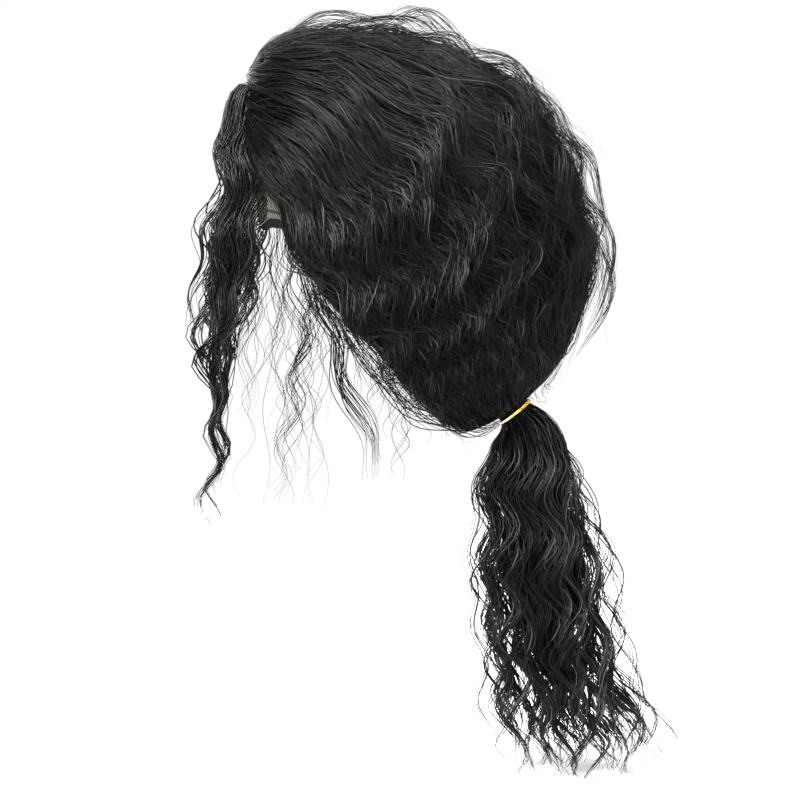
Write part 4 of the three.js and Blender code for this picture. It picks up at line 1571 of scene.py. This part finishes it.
@dataclass
class EdgeHair:
    """Strands on the cut edge of the hair round the face and on its inner wall at the nape."""

    name: str
    side: Side
    seed: int
    edge: int = 76
    inner: int = 60
    points: int = 28
    form: HairForm = HairForm()

    def inner_half(self, back: Array, down: Array) -> Array:
        """Half width of the hollow at a place: the cap's, or below it the neck's.

        Args:
            back: Place along the head.
            down: Place below the crown.

        Returns:
            The distance from the middle plane.
        """
        form, head = self.form, self.form.head
        left = np.maximum(1 - head.section(back, down, head.cap_wall), 0)
        cap = (head.half_breadth + head.cap_wall) * left ** (1 / head.fullness)
        part = (back - form.neck_middle) / form.neck_depth
        return np.maximum(cap, form.neck_half * np.sqrt(np.maximum(1 - part**2, 0)))

    def outer_half(self, back: Array, down: Array) -> Array:
        """Half width of the whole hair at a place.

        Args:
            back: Place along the head.
            down: Place below the crown.

        Returns:
            The distance from the middle plane.
        """
        form = self.form

        def inside(at: Array) -> Array:
            """Whether places at these distances from the middle plane are in the hair."""
            away = np.stack([at, back, down], axis=-1) - form.centre
            return np.linalg.norm(away, axis=-1) < form.reach(unit(away)) - form.ridge_height

        return leaving(back, 110.0, 12, inside)

    def wall(self, turn: Array, down: Array) -> Array:
        """Distance from the neck's middle to the hollow's wall.

        Args:
            turn: Angle round the neck from its back.
            down: Place below the crown.

        Returns:
            The distance at each place.
        """
        form, head = self.form, self.form.head
        left = 1 - np.abs((down + head.crown_height) / head.nape_height) ** head.fullness

        def inside(at: Array) -> Array:
            """Whether each place is in the cap or in the way of the neck.

            Args:
                at: The places' distances from the neck's middle.

            Returns:
                True for the places that are inside.
            """
            out, back = np.abs(at * np.sin(turn)), at * np.cos(turn)
            cap = (out / head.half_breadth) ** head.fullness
            cap = cap + np.abs((back + form.neck_middle) / head.half_length) ** head.fullness
            neck = (out / form.neck_half) ** 2 + (back / form.neck_depth) ** 2
            return (cap < left) | (neck < 1)

        return leaving(turn, 130.0, 14, inside)

    def grow_inner(self, share: Array) -> Array:
        """Strands that hang from the cap's rim down the inner wall to the nape.

        Args:
            share: Way along a strand, from 0 to 1.

        Returns:
            Their points.
        """
        form, chance = self.form, Chance(self.seed + 100, 1, self.inner)
        wave = 2 * pi * share * chance.by_strand(1.6, 2.6) + chance.by_strand(0, FULL_TURN)
        turn = np.radians(chance.by_strand(1, 88)) * (1 - 0.7 * share**1.3)
        turn = np.abs(turn + 0.05 * np.sin(wave) * ease(share, 0.0, 0.3))
        down = -173 - chance.by_strand(0, 10) - chance.by_strand(60, 86) * share
        for _ in range(2):
            far = self.wall(turn, down) - 0.8 - chance.by_strand(0, 1.6) + 0.6 * np.cos(wave)
            back = form.neck_middle + far * np.cos(turn)
            down = np.maximum(down, 1.5 - form.edge_drop(back, smooth=True))
        out = np.maximum(far * np.sin(turn), 0.5)
        return np.stack([self.side.value * out, back, down], axis=-1)

    def grow(self) -> Strands:
        """The strands of the edge and of the inner wall."""
        chance = Chance(self.seed, 1, self.edge)
        share = np.linspace(0, 1, self.points)[None]
        start, end = chance.by_strand(-73.5, -35), chance.by_strand(10, 66)
        back = start + (end - start) * share
        wave = 2 * pi * share * chance.by_strand(2.5, 4.5) + chance.by_strand(0, FULL_TURN)
        down = chance.by_strand(-1.0, 2.5) - self.form.edge_drop(back, smooth=True)
        down = down + self.form.thin_edge(back) * chance.by_strand(0.6, 1.1)
        down = down + np.sin(wave) * chance.by_strand(0.8, 2.6)
        hollow, full = self.inner_half(back, down), self.outer_half(back, down)
        depth = chance.by_strand(0.02, 1.0) + 0.05 * np.cos(wave)
        out = np.maximum(hollow + (full - hollow) * depth, 0.5)
        cut = np.stack([self.side.value * out, back, down], axis=-1)
        paths = np.concatenate([cut, self.grow_inner(share)])
        count = len(paths)
        inside = (np.arange(count) >= self.edge)[:, None]
        chance = Chance(self.seed + 200, 1, count)
        outward = np.zeros_like(paths) + np.array([self.side.value * 0.3, -0.5, -0.8])
        outward = np.where(inside[..., None], [-float(self.side.value), 0.0, 0.0], outward)
        widths = 0.75 * chance.by_strand(0.6, 1.3) * taper(self.points, 0.4, 0.3)
        return Strands(paths, outward, widths, chance.tones(self.points, 0.8))


@dataclass
class Wisps:
    """Thin locks and single hairs that hang over the temple and under the hair's edge."""

    name: str
    side: Side
    seed: int
    points: int = 34
    form: HairForm = HairForm()
    # Start back and down, end back and down, swing, waves, turn of the first wave, hairs,
    # width: in millimetres from the crown
    locks: tuple[tuple[float, ...], ...] = (
        (-58, -150, -4, -300, 4.6, 2.1, 3.6, 6, 0.62),
        (-50, -162, -10, -284, 5.2, 1.7, 3.9, 5, 0.5),
        (-50, -166, -76, -322, 5.4, 3.1, 2.6, 4, 0.42),
        (-66, -128, -58, -262, 6.2, 2.2, 0.4, 4, 0.42),
        (-76, -118, -74, -220, 3.6, 1.8, 1.2, 3, 0.34),
        (-88, -120, -97, -262, 5.0, 2.4, 0.8, 3, 0.34),
        (-40, -176, 22, -256, -4.0, 0.5, 0.0, 5, 0.42),
    )
    singles: int = 16
    # Course of the hairs that sag below the edge on their way to the tie: out, back, down
    sag: tuple[Triple, ...] = (
        (66, -34, -180), (66, -21, -206), (63, -9, -224), (58, 6, -240), (50, 24, -256),
        (36, 48, -264), (20, 66, -267), (8, 80, -262), (4, 88, -255),
    )
    sagging: int = 7
    fringe: int = 26

    def side_at(self, back: Array, down: Array) -> Array:
        """How far the head's side is from the middle plane at a place."""
        left = np.maximum(1 - self.form.head.section(back, down, 0.0), 0.2)
        return self.form.head.half_breadth * left ** (1 / self.form.head.fullness)

    def grow(self) -> Strands:
        """The hanging locks, the single hairs and the sagging ones."""
        chance = Chance(self.seed, 1, 1)
        rng = chance.rng
        rows = []
        for lock in self.locks:
            for _ in range(int(lock[7])):
                near = rng.normal(0, 1, 5)
                rows.append(
                    [lock[0] + near[0] * 1.6, lock[1] + near[1] * 1.6, lock[2] + near[2] * 3,
                     lock[3] + abs(near[3]) * 9, lock[4], lock[5], lock[6] + near[4] * 0.14,
                     lock[8]]
                )
        for _ in range(self.singles):
            at = rng.random()
            start = (-84 + 52 * at, -116 - 62 * at)
            rows.append(
                [start[0], start[1], start[0] + rng.uniform(-26, 14), -rng.uniform(205, 342),
                 rng.uniform(2, 7), rng.uniform(1.5, 4), rng.uniform(0, FULL_TURN), 0.3]
            )
        for _ in range(self.fringe):
            back = rng.uniform(-56, 24)
            top = 7 - float(self.form.edge_drop(back))
            rows.append(
                [back, top, back + rng.uniform(-14, 22), top - rng.uniform(22, 75),
                 rng.uniform(2.5, 6), rng.uniform(0.8, 1.8), rng.uniform(0, FULL_TURN),
                 rng.uniform(0.3, 0.5)]
            )
        y0, z0, y1, z1, swing, waves, first, width = (c[:, None] for c in np.array(rows).T)
        share = np.linspace(0, 1, self.points)[None]
        loose = ease(share, 0.0, 0.3)
        curl = 2 * pi * waves * share + first
        down = z0 + (z1 - z0) * share
        back = y0 + (y1 - y0) * share + swing * loose * np.sin(curl)
        out = self.side_at(y0, z0) + 3.0 - 9.0 * share
        out = out + 0.5 * swing * loose * np.cos(curl) - 4.0 * (1 - ease(share, 0, 0.12))
        hanging = np.stack([self.side.value * out, back, down], axis=-1)
        marks = np.linspace(0, 1, len(self.sag))
        course = np.stack(
            [table_curve(marks, [p[i] for p in self.sag], share[0]) for i in range(3)], axis=-1
        )
        course = np.repeat(course[None], self.sagging, axis=0)
        some = rng.uniform(0, FULL_TURN, (self.sagging, 1))
        middle = np.sin(pi * share)
        course[..., 2] += middle * (rng.uniform(-7, 7, (self.sagging, 1))
                                    + 2.2 * np.sin(share * 20 + some))
        course[..., 1] += middle * 2.0 * np.cos(share * 17 + some)
        course[..., 0] = self.side.value * (course[..., 0] - rng.uniform(0, 9, (self.sagging, 1)))
        paths = np.concatenate([hanging, course])
        widths = np.concatenate([width, rng.uniform(0.35, 0.75, (self.sagging, 1))])
        widths = widths * taper(self.points, 0.6, 0.4)
        outward = np.zeros_like(paths) + np.array([float(self.side.value), 0.0, 0.0])
        tones = np.repeat(rng.random((len(paths), 1)) ** 2, self.points, axis=1)
        return Strands(paths, outward, np.maximum(widths, THINNEST_SINGLE), tones)


# ---------------- pieces


def add_uv(mesh: Mesh, name: str, at_points: Array) -> None:
    """Gives a mesh a map with one value for each point.

    Args:
        mesh: The mesh.
        name: The map's name.
        at_points: Two numbers for each point.
    """
    corner = np.empty(len(mesh.loops), np.int32)
    mesh.loops.foreach_get("vertex_index", corner)
    layer = mesh.uv_layers.new(name=name)
    layer.data.foreach_set("uv", at_points[corner].astype(np.float32).ravel())


def ring_mesh(name: str, rings: Array, closed: bool) -> Object:
    """Closed mesh through rings of points.

    Args:
        name: Piece name.
        rings: Points by ring and place round it, in millimetres.
        closed: Whether the last ring meets the first; otherwise both ends get a pole.

    Returns:
        The new object.
    """
    count, columns = rings.shape[:2]
    points = rings.reshape(-1, 3)
    faces = []
    for i in range(count if closed else count - 1):
        a, b = i * columns, ((i + 1) % count) * columns
        for j in range(columns):
            k = (j + 1) % columns
            faces.append((a + j, b + j, b + k, a + k))
    if not closed:
        top, bottom = len(points), len(points) + 1
        points = np.concatenate([points, rings[0].mean(0)[None], rings[-1].mean(0)[None]])
        end = (count - 1) * columns
        for j in range(columns):
            k = (j + 1) % columns
            faces += [(top, j, k), (bottom, end + k, end + j)]
    mesh = bpy.data.meshes.new(name)
    mesh.from_pydata((points * MM).tolist(), [], faces)
    obj = add_object(name, mesh)
    activate(obj)
    bpy.ops.object.mode_set(mode="EDIT")
    bpy.ops.mesh.select_all(action="SELECT")
    bpy.ops.mesh.normals_make_consistent(inside=False)
    bpy.ops.object.mode_set(mode="OBJECT")
    bpy.ops.object.shade_smooth_by_angle(angle=radians(50))
    return obj


def mesh_points(mesh: Mesh) -> Array:
    """Reads a mesh's points.

    Args:
        mesh: The mesh.

    Returns:
        Its points in millimetres.
    """
    points = np.empty(len(mesh.vertices) * 3, np.float32)
    mesh.vertices.foreach_get("co", points)
    return points.reshape(-1, 3).astype(float) / MM


def hanging_mass(name: str, rings: Array, turn: Array, girth: float, material: Material) -> Object:
    """Closed mass through rings, with its flow mapped in millimetres.

    Args:
        name: Piece name.
        rings: Points by ring and place round it, in millimetres.
        turn: Angle of each place round a ring.
        girth: Radius at which that angle is mapped.
        material: Its material.

    Returns:
        The new object.
    """
    obj = ring_mesh(name, rings, closed=False)
    angle = np.append(np.tile(turn, len(rings)), [0.0, 0.0])
    add_uv(obj.data, "fibre", np.stack([angle * girth, mesh_points(obj.data)[:, 2]], axis=-1))
    obj.data.materials.append(material)
    return obj


@dataclass
class HeadCore:
    """Dark combed mass under the strands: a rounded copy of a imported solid, drawn in."""

    name: str
    node: str
    body: HeadHair
    voxel: float = 4.5
    draw_in: float = 3.2
    overlap: float = 0.0

    def build(self, material: Material) -> Object:
        """Makes the mass with its flow map.

        Args:
            material: Its material.

        Returns:
            The new object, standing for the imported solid.
        """
        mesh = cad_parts[self.node].data.copy()
        mesh.name = self.name
        mesh.materials.clear()
        obj = add_object(self.name, mesh)
        activate(obj)
        bpy.ops.object.mode_set(mode="EDIT")
        bpy.ops.mesh.select_all(action="SELECT")
        bpy.ops.mesh.remove_doubles(threshold=0.02 * MM)
        bpy.ops.object.mode_set(mode="OBJECT")
        apply_modifier(obj, "REMESH", mode="VOXEL", voxel_size=self.voxel * MM)
        apply_modifier(obj, "SMOOTH", factor=0.5, iterations=2)
        self.shape(obj.data)
        obj.data.shade_smooth()
        obj.data.materials.append(material)
        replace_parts(obj, self.node)
        return obj

    def shape(self, mesh: Mesh) -> None:
        """Draws the outer face in under the strands and maps the flow, in millimetres.

        Args:
            mesh: The mass's mesh.
        """
        form, points = self.body.form, mesh_points(mesh)
        away = points - form.centre
        radius = np.linalg.norm(away, axis=1)
        heading = away / radius[:, None]
        angle = np.arccos(np.clip(-heading @ form.axis, -1, 1))
        psi = np.arctan2(heading[:, 0], heading @ form.up)
        around = np.maximum(radius * np.sin(angle), 5)
        flat = psi - form.sway(angle, psi, radius) / around
        low, high = self.body.limits(angle)
        place = np.clip((flat - low) / (high - low), 0, 1)
        ceiling = self.body.height(angle, place, psi) - self.draw_in
        ceiling = np.maximum(ceiling, form.cap_reach(heading) + 0.6)
        points = form.centre + heading * np.minimum(radius, ceiling)[:, None]
        if self.body.side is not Side.MIDDLE:
            over = points[:, 2] + form.edge_drop(points[:, 1])
            shift = (1 - ease(over, 2, 22)) * (points[:, 2] < -100)
            points[:, 2] += form.thin_edge(points[:, 1]) * shift
        # The masses reach over and under each other where they meet
        apart = np.cross(heading, form.axis)
        sign = 1 if self.body.side is Side.MIDDLE else -1
        past = sign * (np.abs(flat) - form.swept_edge(angle))
        near = ease(past, -0.16, -0.03) * (past < 0.06) * np.sin(angle)
        near = near * sign * self.overlap
        outwards = unit(apart) * np.sign(apart[:, :1] * heading[:, :1])
        points = points + outwards * near[:, None]
        mesh.vertices.foreach_set("co", (points * MM).astype(np.float32).ravel())
        mesh.update()
        add_uv(mesh, "fibre", np.stack([flat * 110, angle * radius], axis=-1))


@dataclass
class TailCore:
    """Dark mass in the middle of the ponytail."""

    name: str = "ponytail_core"
    share: float = 0.6
    form: TailForm = TailForm()

    def build(self, material: Material) -> Object:
        """Makes the mass.

        Args:
            material: Its material.

        Returns:
            The new object.
        """
        columns, rows = 48, 44
        turn = np.linspace(0, 2 * pi, columns, endpoint=False)
        hair = self.form.hair
        spoke = hair.spoke(turn)
        rings = [hair.tie_centre - hair.axis * 7 + spoke * 7, hair.tie_centre + spoke * 9.5]
        for fall in np.linspace(0.03, 0.84, rows):
            narrow = 1 - 0.9 * float(ease(np.array(fall), 0.5, 0.85))
            wave = 2 * pi * fall * self.form.length / hair.wave_length
            lobes = 1 + 0.09 * np.sin(5 * turn + wave) + 0.05 * np.sin(9 * turn - wave)
            at = np.full(columns, fall)
            rings.append(self.form.point(at, turn, self.share * narrow * lobes))
        obj = hanging_mass(self.name, np.array(rings), turn, 24.0, material)
        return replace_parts(obj, "ponytail")


@dataclass
class ForelockCore:
    """Dark mass in the middle of a forelock's thick part."""

    name: str
    side: Side
    node: str
    form: ForelockForm = ForelockForm()

    def build(self, material: Material) -> Object:
        """Makes the mass.

        Args:
            material: Its material.

        Returns:
            The new object.
        """
        form, columns = self.form, 16
        turn = np.linspace(0, 2 * pi, columns, endpoint=False)
        falls, _, _, girths = zip(*form.rows)
        rings = []
        for fall in np.linspace(-0.01, 0.68, 40):
            at = np.array([max(fall, 0.0)])
            middle = form.point(self.side.value, at, np.zeros(1), np.zeros(1))[0]
            middle = middle + np.array([0.0, 4.0 if fall < 0 else 0.0, 0.0])
            girth = float(table_curve(falls, girths, at)[0]) * form.width
            ends = float(ease(np.array(fall), -0.03, 0.08))
            ends *= 1 - 0.9 * float(ease(np.array(fall), 0.5, 0.69))
            deep, wide = 0.09 * girth * ends, min(0.07 * girth, 2.0) * ends
            wave = 3.0 * sin(2 * pi * fall * form.length / 54 + self.side.value)
            ring = np.stack([wide * np.sin(turn), deep * np.cos(turn) + wave, 0 * turn], axis=-1)
            rings.append(middle + ring)
        obj = hanging_mass(self.name, np.array(rings), turn, 8.0, material)
        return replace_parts(obj, self.node)


def dress(obj: Object) -> Object:
    """Rides a piece on the wig's body and reports it.

    Args:
        obj: The piece.

    Returns:
        The same piece.
    """
    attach(obj, "root")
    triangles = len(obj.data.loops) - 2 * len(obj.data.polygons)
    LOG.info("%s: %d triangles", obj.name, triangles)
    return obj


@dataclass
class CapAssembly:
    """Net cap with its elastic edge band."""

    head: HeadForm = HeadForm()
    columns: int = 108
    rows: int = 22

    def build_cap(self, material: Material) -> Object:
        """The cap's thin wall.

        Args:
            material: Its material.

        Returns:
            The new object.
        """
        head = self.head
        bearing = np.linspace(0, 2 * pi, self.columns, endpoint=False)
        rim = head.rim_angle(bearing)
        steps = np.linspace(0.015, 1, self.rows)
        outer = [head.point(bearing, rim * s, head.cap_wall) for s in steps]
        inner = [head.point(bearing, rim * s, 0.0) for s in steps[::-1]]
        rings = np.array(outer + inner)
        obj = ring_mesh("net_cap", rings, closed=False)
        # The map lays the net out flat from the crown, in millimetres down the wall
        spans = np.linalg.norm(np.diff(np.array(outer), axis=0), axis=-1)
        down = np.concatenate([np.zeros((1, self.columns)), np.cumsum(spans, axis=0)]) + 3
        down = np.concatenate([down, down[::-1]])
        flat = np.stack([down * np.sin(bearing), -down * np.cos(bearing)], axis=-1)
        add_uv(obj.data, "net", np.concatenate([flat.reshape(-1, 2), np.zeros((2, 2))]))
        obj.data.materials.append(material)
        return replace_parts(obj, "wig_cap")

    def build_band(self, material: Material) -> Object:
        """The elastic band round the cap's rim.

        Args:
            material: Its material.

        Returns:
            The new object.
        """
        head = self.head
        columns = 220
        bearing = np.linspace(0, 2 * pi, columns, endpoint=False)
        scale = (head.half_length + head.crown_height) / 2
        start = head.rim_angle(bearing) + head.seam_gap / scale
        height = head.band_height / scale
        # Down the band and out from the head, as shares of its height and of the cap's wall
        profile = [(0.0, 0.35), (0.06, 1.0), (0.5, 1.15), (0.94, 1.0), (1.0, 0.35),
                   (0.94, 0.0), (0.5, 0.0), (0.06, 0.0)]
        rings = [head.point(bearing, start + height * d, head.cap_wall * w) for d, w in profile]
        obj = ring_mesh("edge_band", np.array(rings), closed=True)
        steps = np.linalg.norm(np.diff(rings[2], axis=0, prepend=rings[2][-1:]), axis=-1)
        across = np.tile(np.cumsum(steps), len(profile))
        down = np.repeat([d * head.band_height for d, _ in profile], columns)
        add_uv(obj.data, "weave", np.stack([across, down], axis=-1))
        obj.data.materials.append(material)
        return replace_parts(obj, "cap_edge_band")


@dataclass
class HairTie:
    """Thin latex elastic wound round the root of the ponytail."""

    form: HairForm = HairForm()
    # Place along the flow, radius and lean in degrees of each wind
    winds: tuple[Triple, ...] = ((-0.35, 13.2, 0.9), (0.4, 13.3, -0.6))
    thickness: float = 1.05

    def build(self, material: Material) -> Object:
        """The elastic's two winds, joined.

        Args:
            material: Its material.

        Returns:
            The new object.
        """
        form = self.form
        turn = Vector((0, 0, 1)).rotation_difference(Vector(form.axis))
        made = []
        for ahead, radius, lean in self.winds:
            deselect_all()
            tilt = Matrix.Rotation(radians(lean), 3, "X").to_quaternion()
            bpy.ops.mesh.primitive_torus_add(
                major_segments=72,
                minor_segments=10,
                major_radius=radius * MM,
                minor_radius=self.thickness / 2 * MM,
                location=Vector(form.tie_centre + form.axis * ahead) * MM,
                rotation=(turn @ tilt).to_euler(),
            )
            wind = bpy.context.object
            settle(wind)
            made.append(wind)
        activate(made[0])
        made[1].select_set(True)
        bpy.ops.object.join()
        obj = bpy.context.object
        obj.name = obj.data.name = "latex_tie"
        obj.data.shade_smooth()
        obj.data.materials.append(material)
        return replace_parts(obj, "hair_tie")


# ---------------- studio


@dataclass
class Studio:
    """Pale floor, soft light and the camera at the photograph's angle."""

    floor_height: float = -0.5085
    distance: float = 2.4
    azimuth: float = 90.0
    elevation: float = 5.0
    target: Triple = (0.0, 0.0105, -0.2452)
    frame_width: float = 0.56
    aim: Triple = (0.0, 0.03, -0.2)
    # Name, place and side in metres, and power in watts of each light
    lights: tuple[tuple[str, Triple, float, float], ...] = (
        ("key", (1.2, -0.8, 1.15), 0.6, 190.0), ("top", (0.6, 0.5, 1.4), 0.6, 110.0),
        ("fill", (-1.4, -0.5, 0.8), 1.2, 80.0), ("low", (1.7, 0.4, 0.2), 0.5, 30.0),
    )

    def build(self) -> None:
        """Makes floor, lights, surroundings and camera."""
        deselect_all()
        bpy.ops.mesh.primitive_circle_add(
            vertices=96, radius=1.6, fill_type="NGON", location=(0, 0, self.floor_height)
        )
        floor = bpy.context.object
        floor.name = "floor"
        settle(floor)
        board = {"Base Color": linear_colour("#aeaead"), "Roughness": 0.9,
                 "Specular IOR Level": 0.1}
        floor.data.materials.append(new_material("matt_white_board", board)[0])
        self.surround()
        bpy.context.scene.view_settings.view_transform = "Standard"
        for light in self.lights:
            self.light(*light)
        self.camera()

    def surround(self) -> None:
        """White walls all round under a darker ceiling."""
        world = bpy.data.worlds.new("white_walls")
        world.use_nodes = True
        tree = world.node_tree
        place = add_node(tree, "ShaderNodeTexCoord")
        height = add_node(tree, "ShaderNodeSeparateXYZ", links={"Vector": (place, "Generated")})
        ramp = add_node(
            tree, "ShaderNodeValToRGB",
            {"stops": [(0.3, "#ffffff"), (0.7, "#5a5a5a")]},
            {"Fac": (height, "Z")},
        )
        connect(tree, tree.nodes["Background"], {"Color": (ramp, "Color")})
        bpy.context.scene.world = world

    def light(self, name: str, place: Triple, size: float, watts: float) -> None:
        """Adds one soft square light aimed at the wig.

        Args:
            name: Light name.
            place: Where it stands, in metres.
            size: Its side, in metres.
            watts: Its power.
        """
        data = bpy.data.lights.new(name, "AREA")
        data.shape, data.size, data.energy = "SQUARE", size, watts
        obj = add_object(name, data)
        obj.location = place
        aim = Vector(self.aim) - Vector(place)
        obj.rotation_mode = "QUATERNION"
        obj.rotation_quaternion = aim.to_track_quat("-Z", "Y")

    def camera(self) -> None:
        """Adds the camera."""
        a, e = radians(self.azimuth), radians(self.elevation)
        back = Vector((sin(a) * cos(e), -cos(a) * cos(e), sin(e)))
        data = bpy.data.cameras.new("photo_camera")
        data.sensor_width = 36.0
        data.lens = 36.0 * self.distance / self.frame_width
        obj = add_object("photo_camera", data)
        obj.location = Vector(self.target) + back * self.distance
        obj.rotation_mode = "QUATERNION"
        obj.rotation_quaternion = (-back).to_track_quat("-Z", "Y")
        bpy.context.scene.camera = obj


def main() -> None:
    """Builds the wig's pieces in order and reports each one."""
    logging.basicConfig(level=logging.INFO, format="%(message)s")
    fibre = FibreFinish().material()
    combed = UnderFibreFinish().material()
    cap = CapAssembly()
    dress(cap.build_cap(NetFinish().material()))
    dress(cap.build_band(ElasticFinish().material()))
    dress(HairTie().build(LatexFinish().material()))
    crown = HeadHair("crown_hair_long", Side.MIDDLE, 8, 23, 12, 11, span=(-0.03, 1.03))
    left = HeadHair("left_hair_long", Side.LEFT, 7, 25, 12, 12, drift=0.3)
    right = HeadHair("right_hair_long", Side.RIGHT, 7, 25, 12, 13, drift=0.3)
    cores = (
        HeadCore("crown_hair_core", "swept_crown_hair", crown, overlap=3.2),
        HeadCore("left_hair_core", "left_side_hair", left, overlap=9.0),
        HeadCore("right_hair_core", "right_side_hair", right, overlap=9.0),
        ForelockCore("left_forelock_core", Side.LEFT, "left_forelock"),
        ForelockCore("right_forelock_core", Side.RIGHT, "right_forelock"),
        TailCore(),
    )
    for core in cores:
        dress(core.build(combed))
    short = {"points": 37, "root_spread": 0.62}
    bodies = (
        crown,
        HeadHair("crown_hair_short", Side.MIDDLE, 8, 23, 12, 14, **short),
        left,
        HeadHair("left_hair_short", Side.LEFT, 7, 27, 14, 15, drift=0.3, **short),
        HeadHair("left_temple_hair", Side.LEFT, 7, 14, 11, 17, span=(0.4, 1.0), **short),
        right,
        HeadHair("right_hair_short", Side.RIGHT, 7, 27, 14, 16, drift=0.3, **short),
        HeadHair("right_temple_hair", Side.RIGHT, 7, 14, 11, 18, span=(0.4, 1.0), **short),
        EdgeHair("left_edge_hair", Side.LEFT, 71),
        EdgeHair("right_edge_hair", Side.RIGHT, 72),
        TailHair("ponytail_outer", 29, 13, (0.66, 0.98), 21),
        TailHair("ponytail_inner", 15, 10, (0.12, 0.62), 22),
        TailHair("ponytail_loose", 17, 4, (0.95, 1.28), 23, wave_size=(4.5, 9.0)),
        ForelockHair("left_forelock_hair", Side.LEFT, 31),
        ForelockHair("right_forelock_hair", Side.RIGHT, 32),
        HairlineHair(),
        Arches(),
        Frizz(),
        Wisps("left_wisps", Side.LEFT, 61),
        Wisps("right_wisps", Side.RIGHT, 62),
    )
    for body in bodies:
        dress(body.grow().build(body.name, fibre))
    Studio().build()


if __name__ == "__main__":
    main()
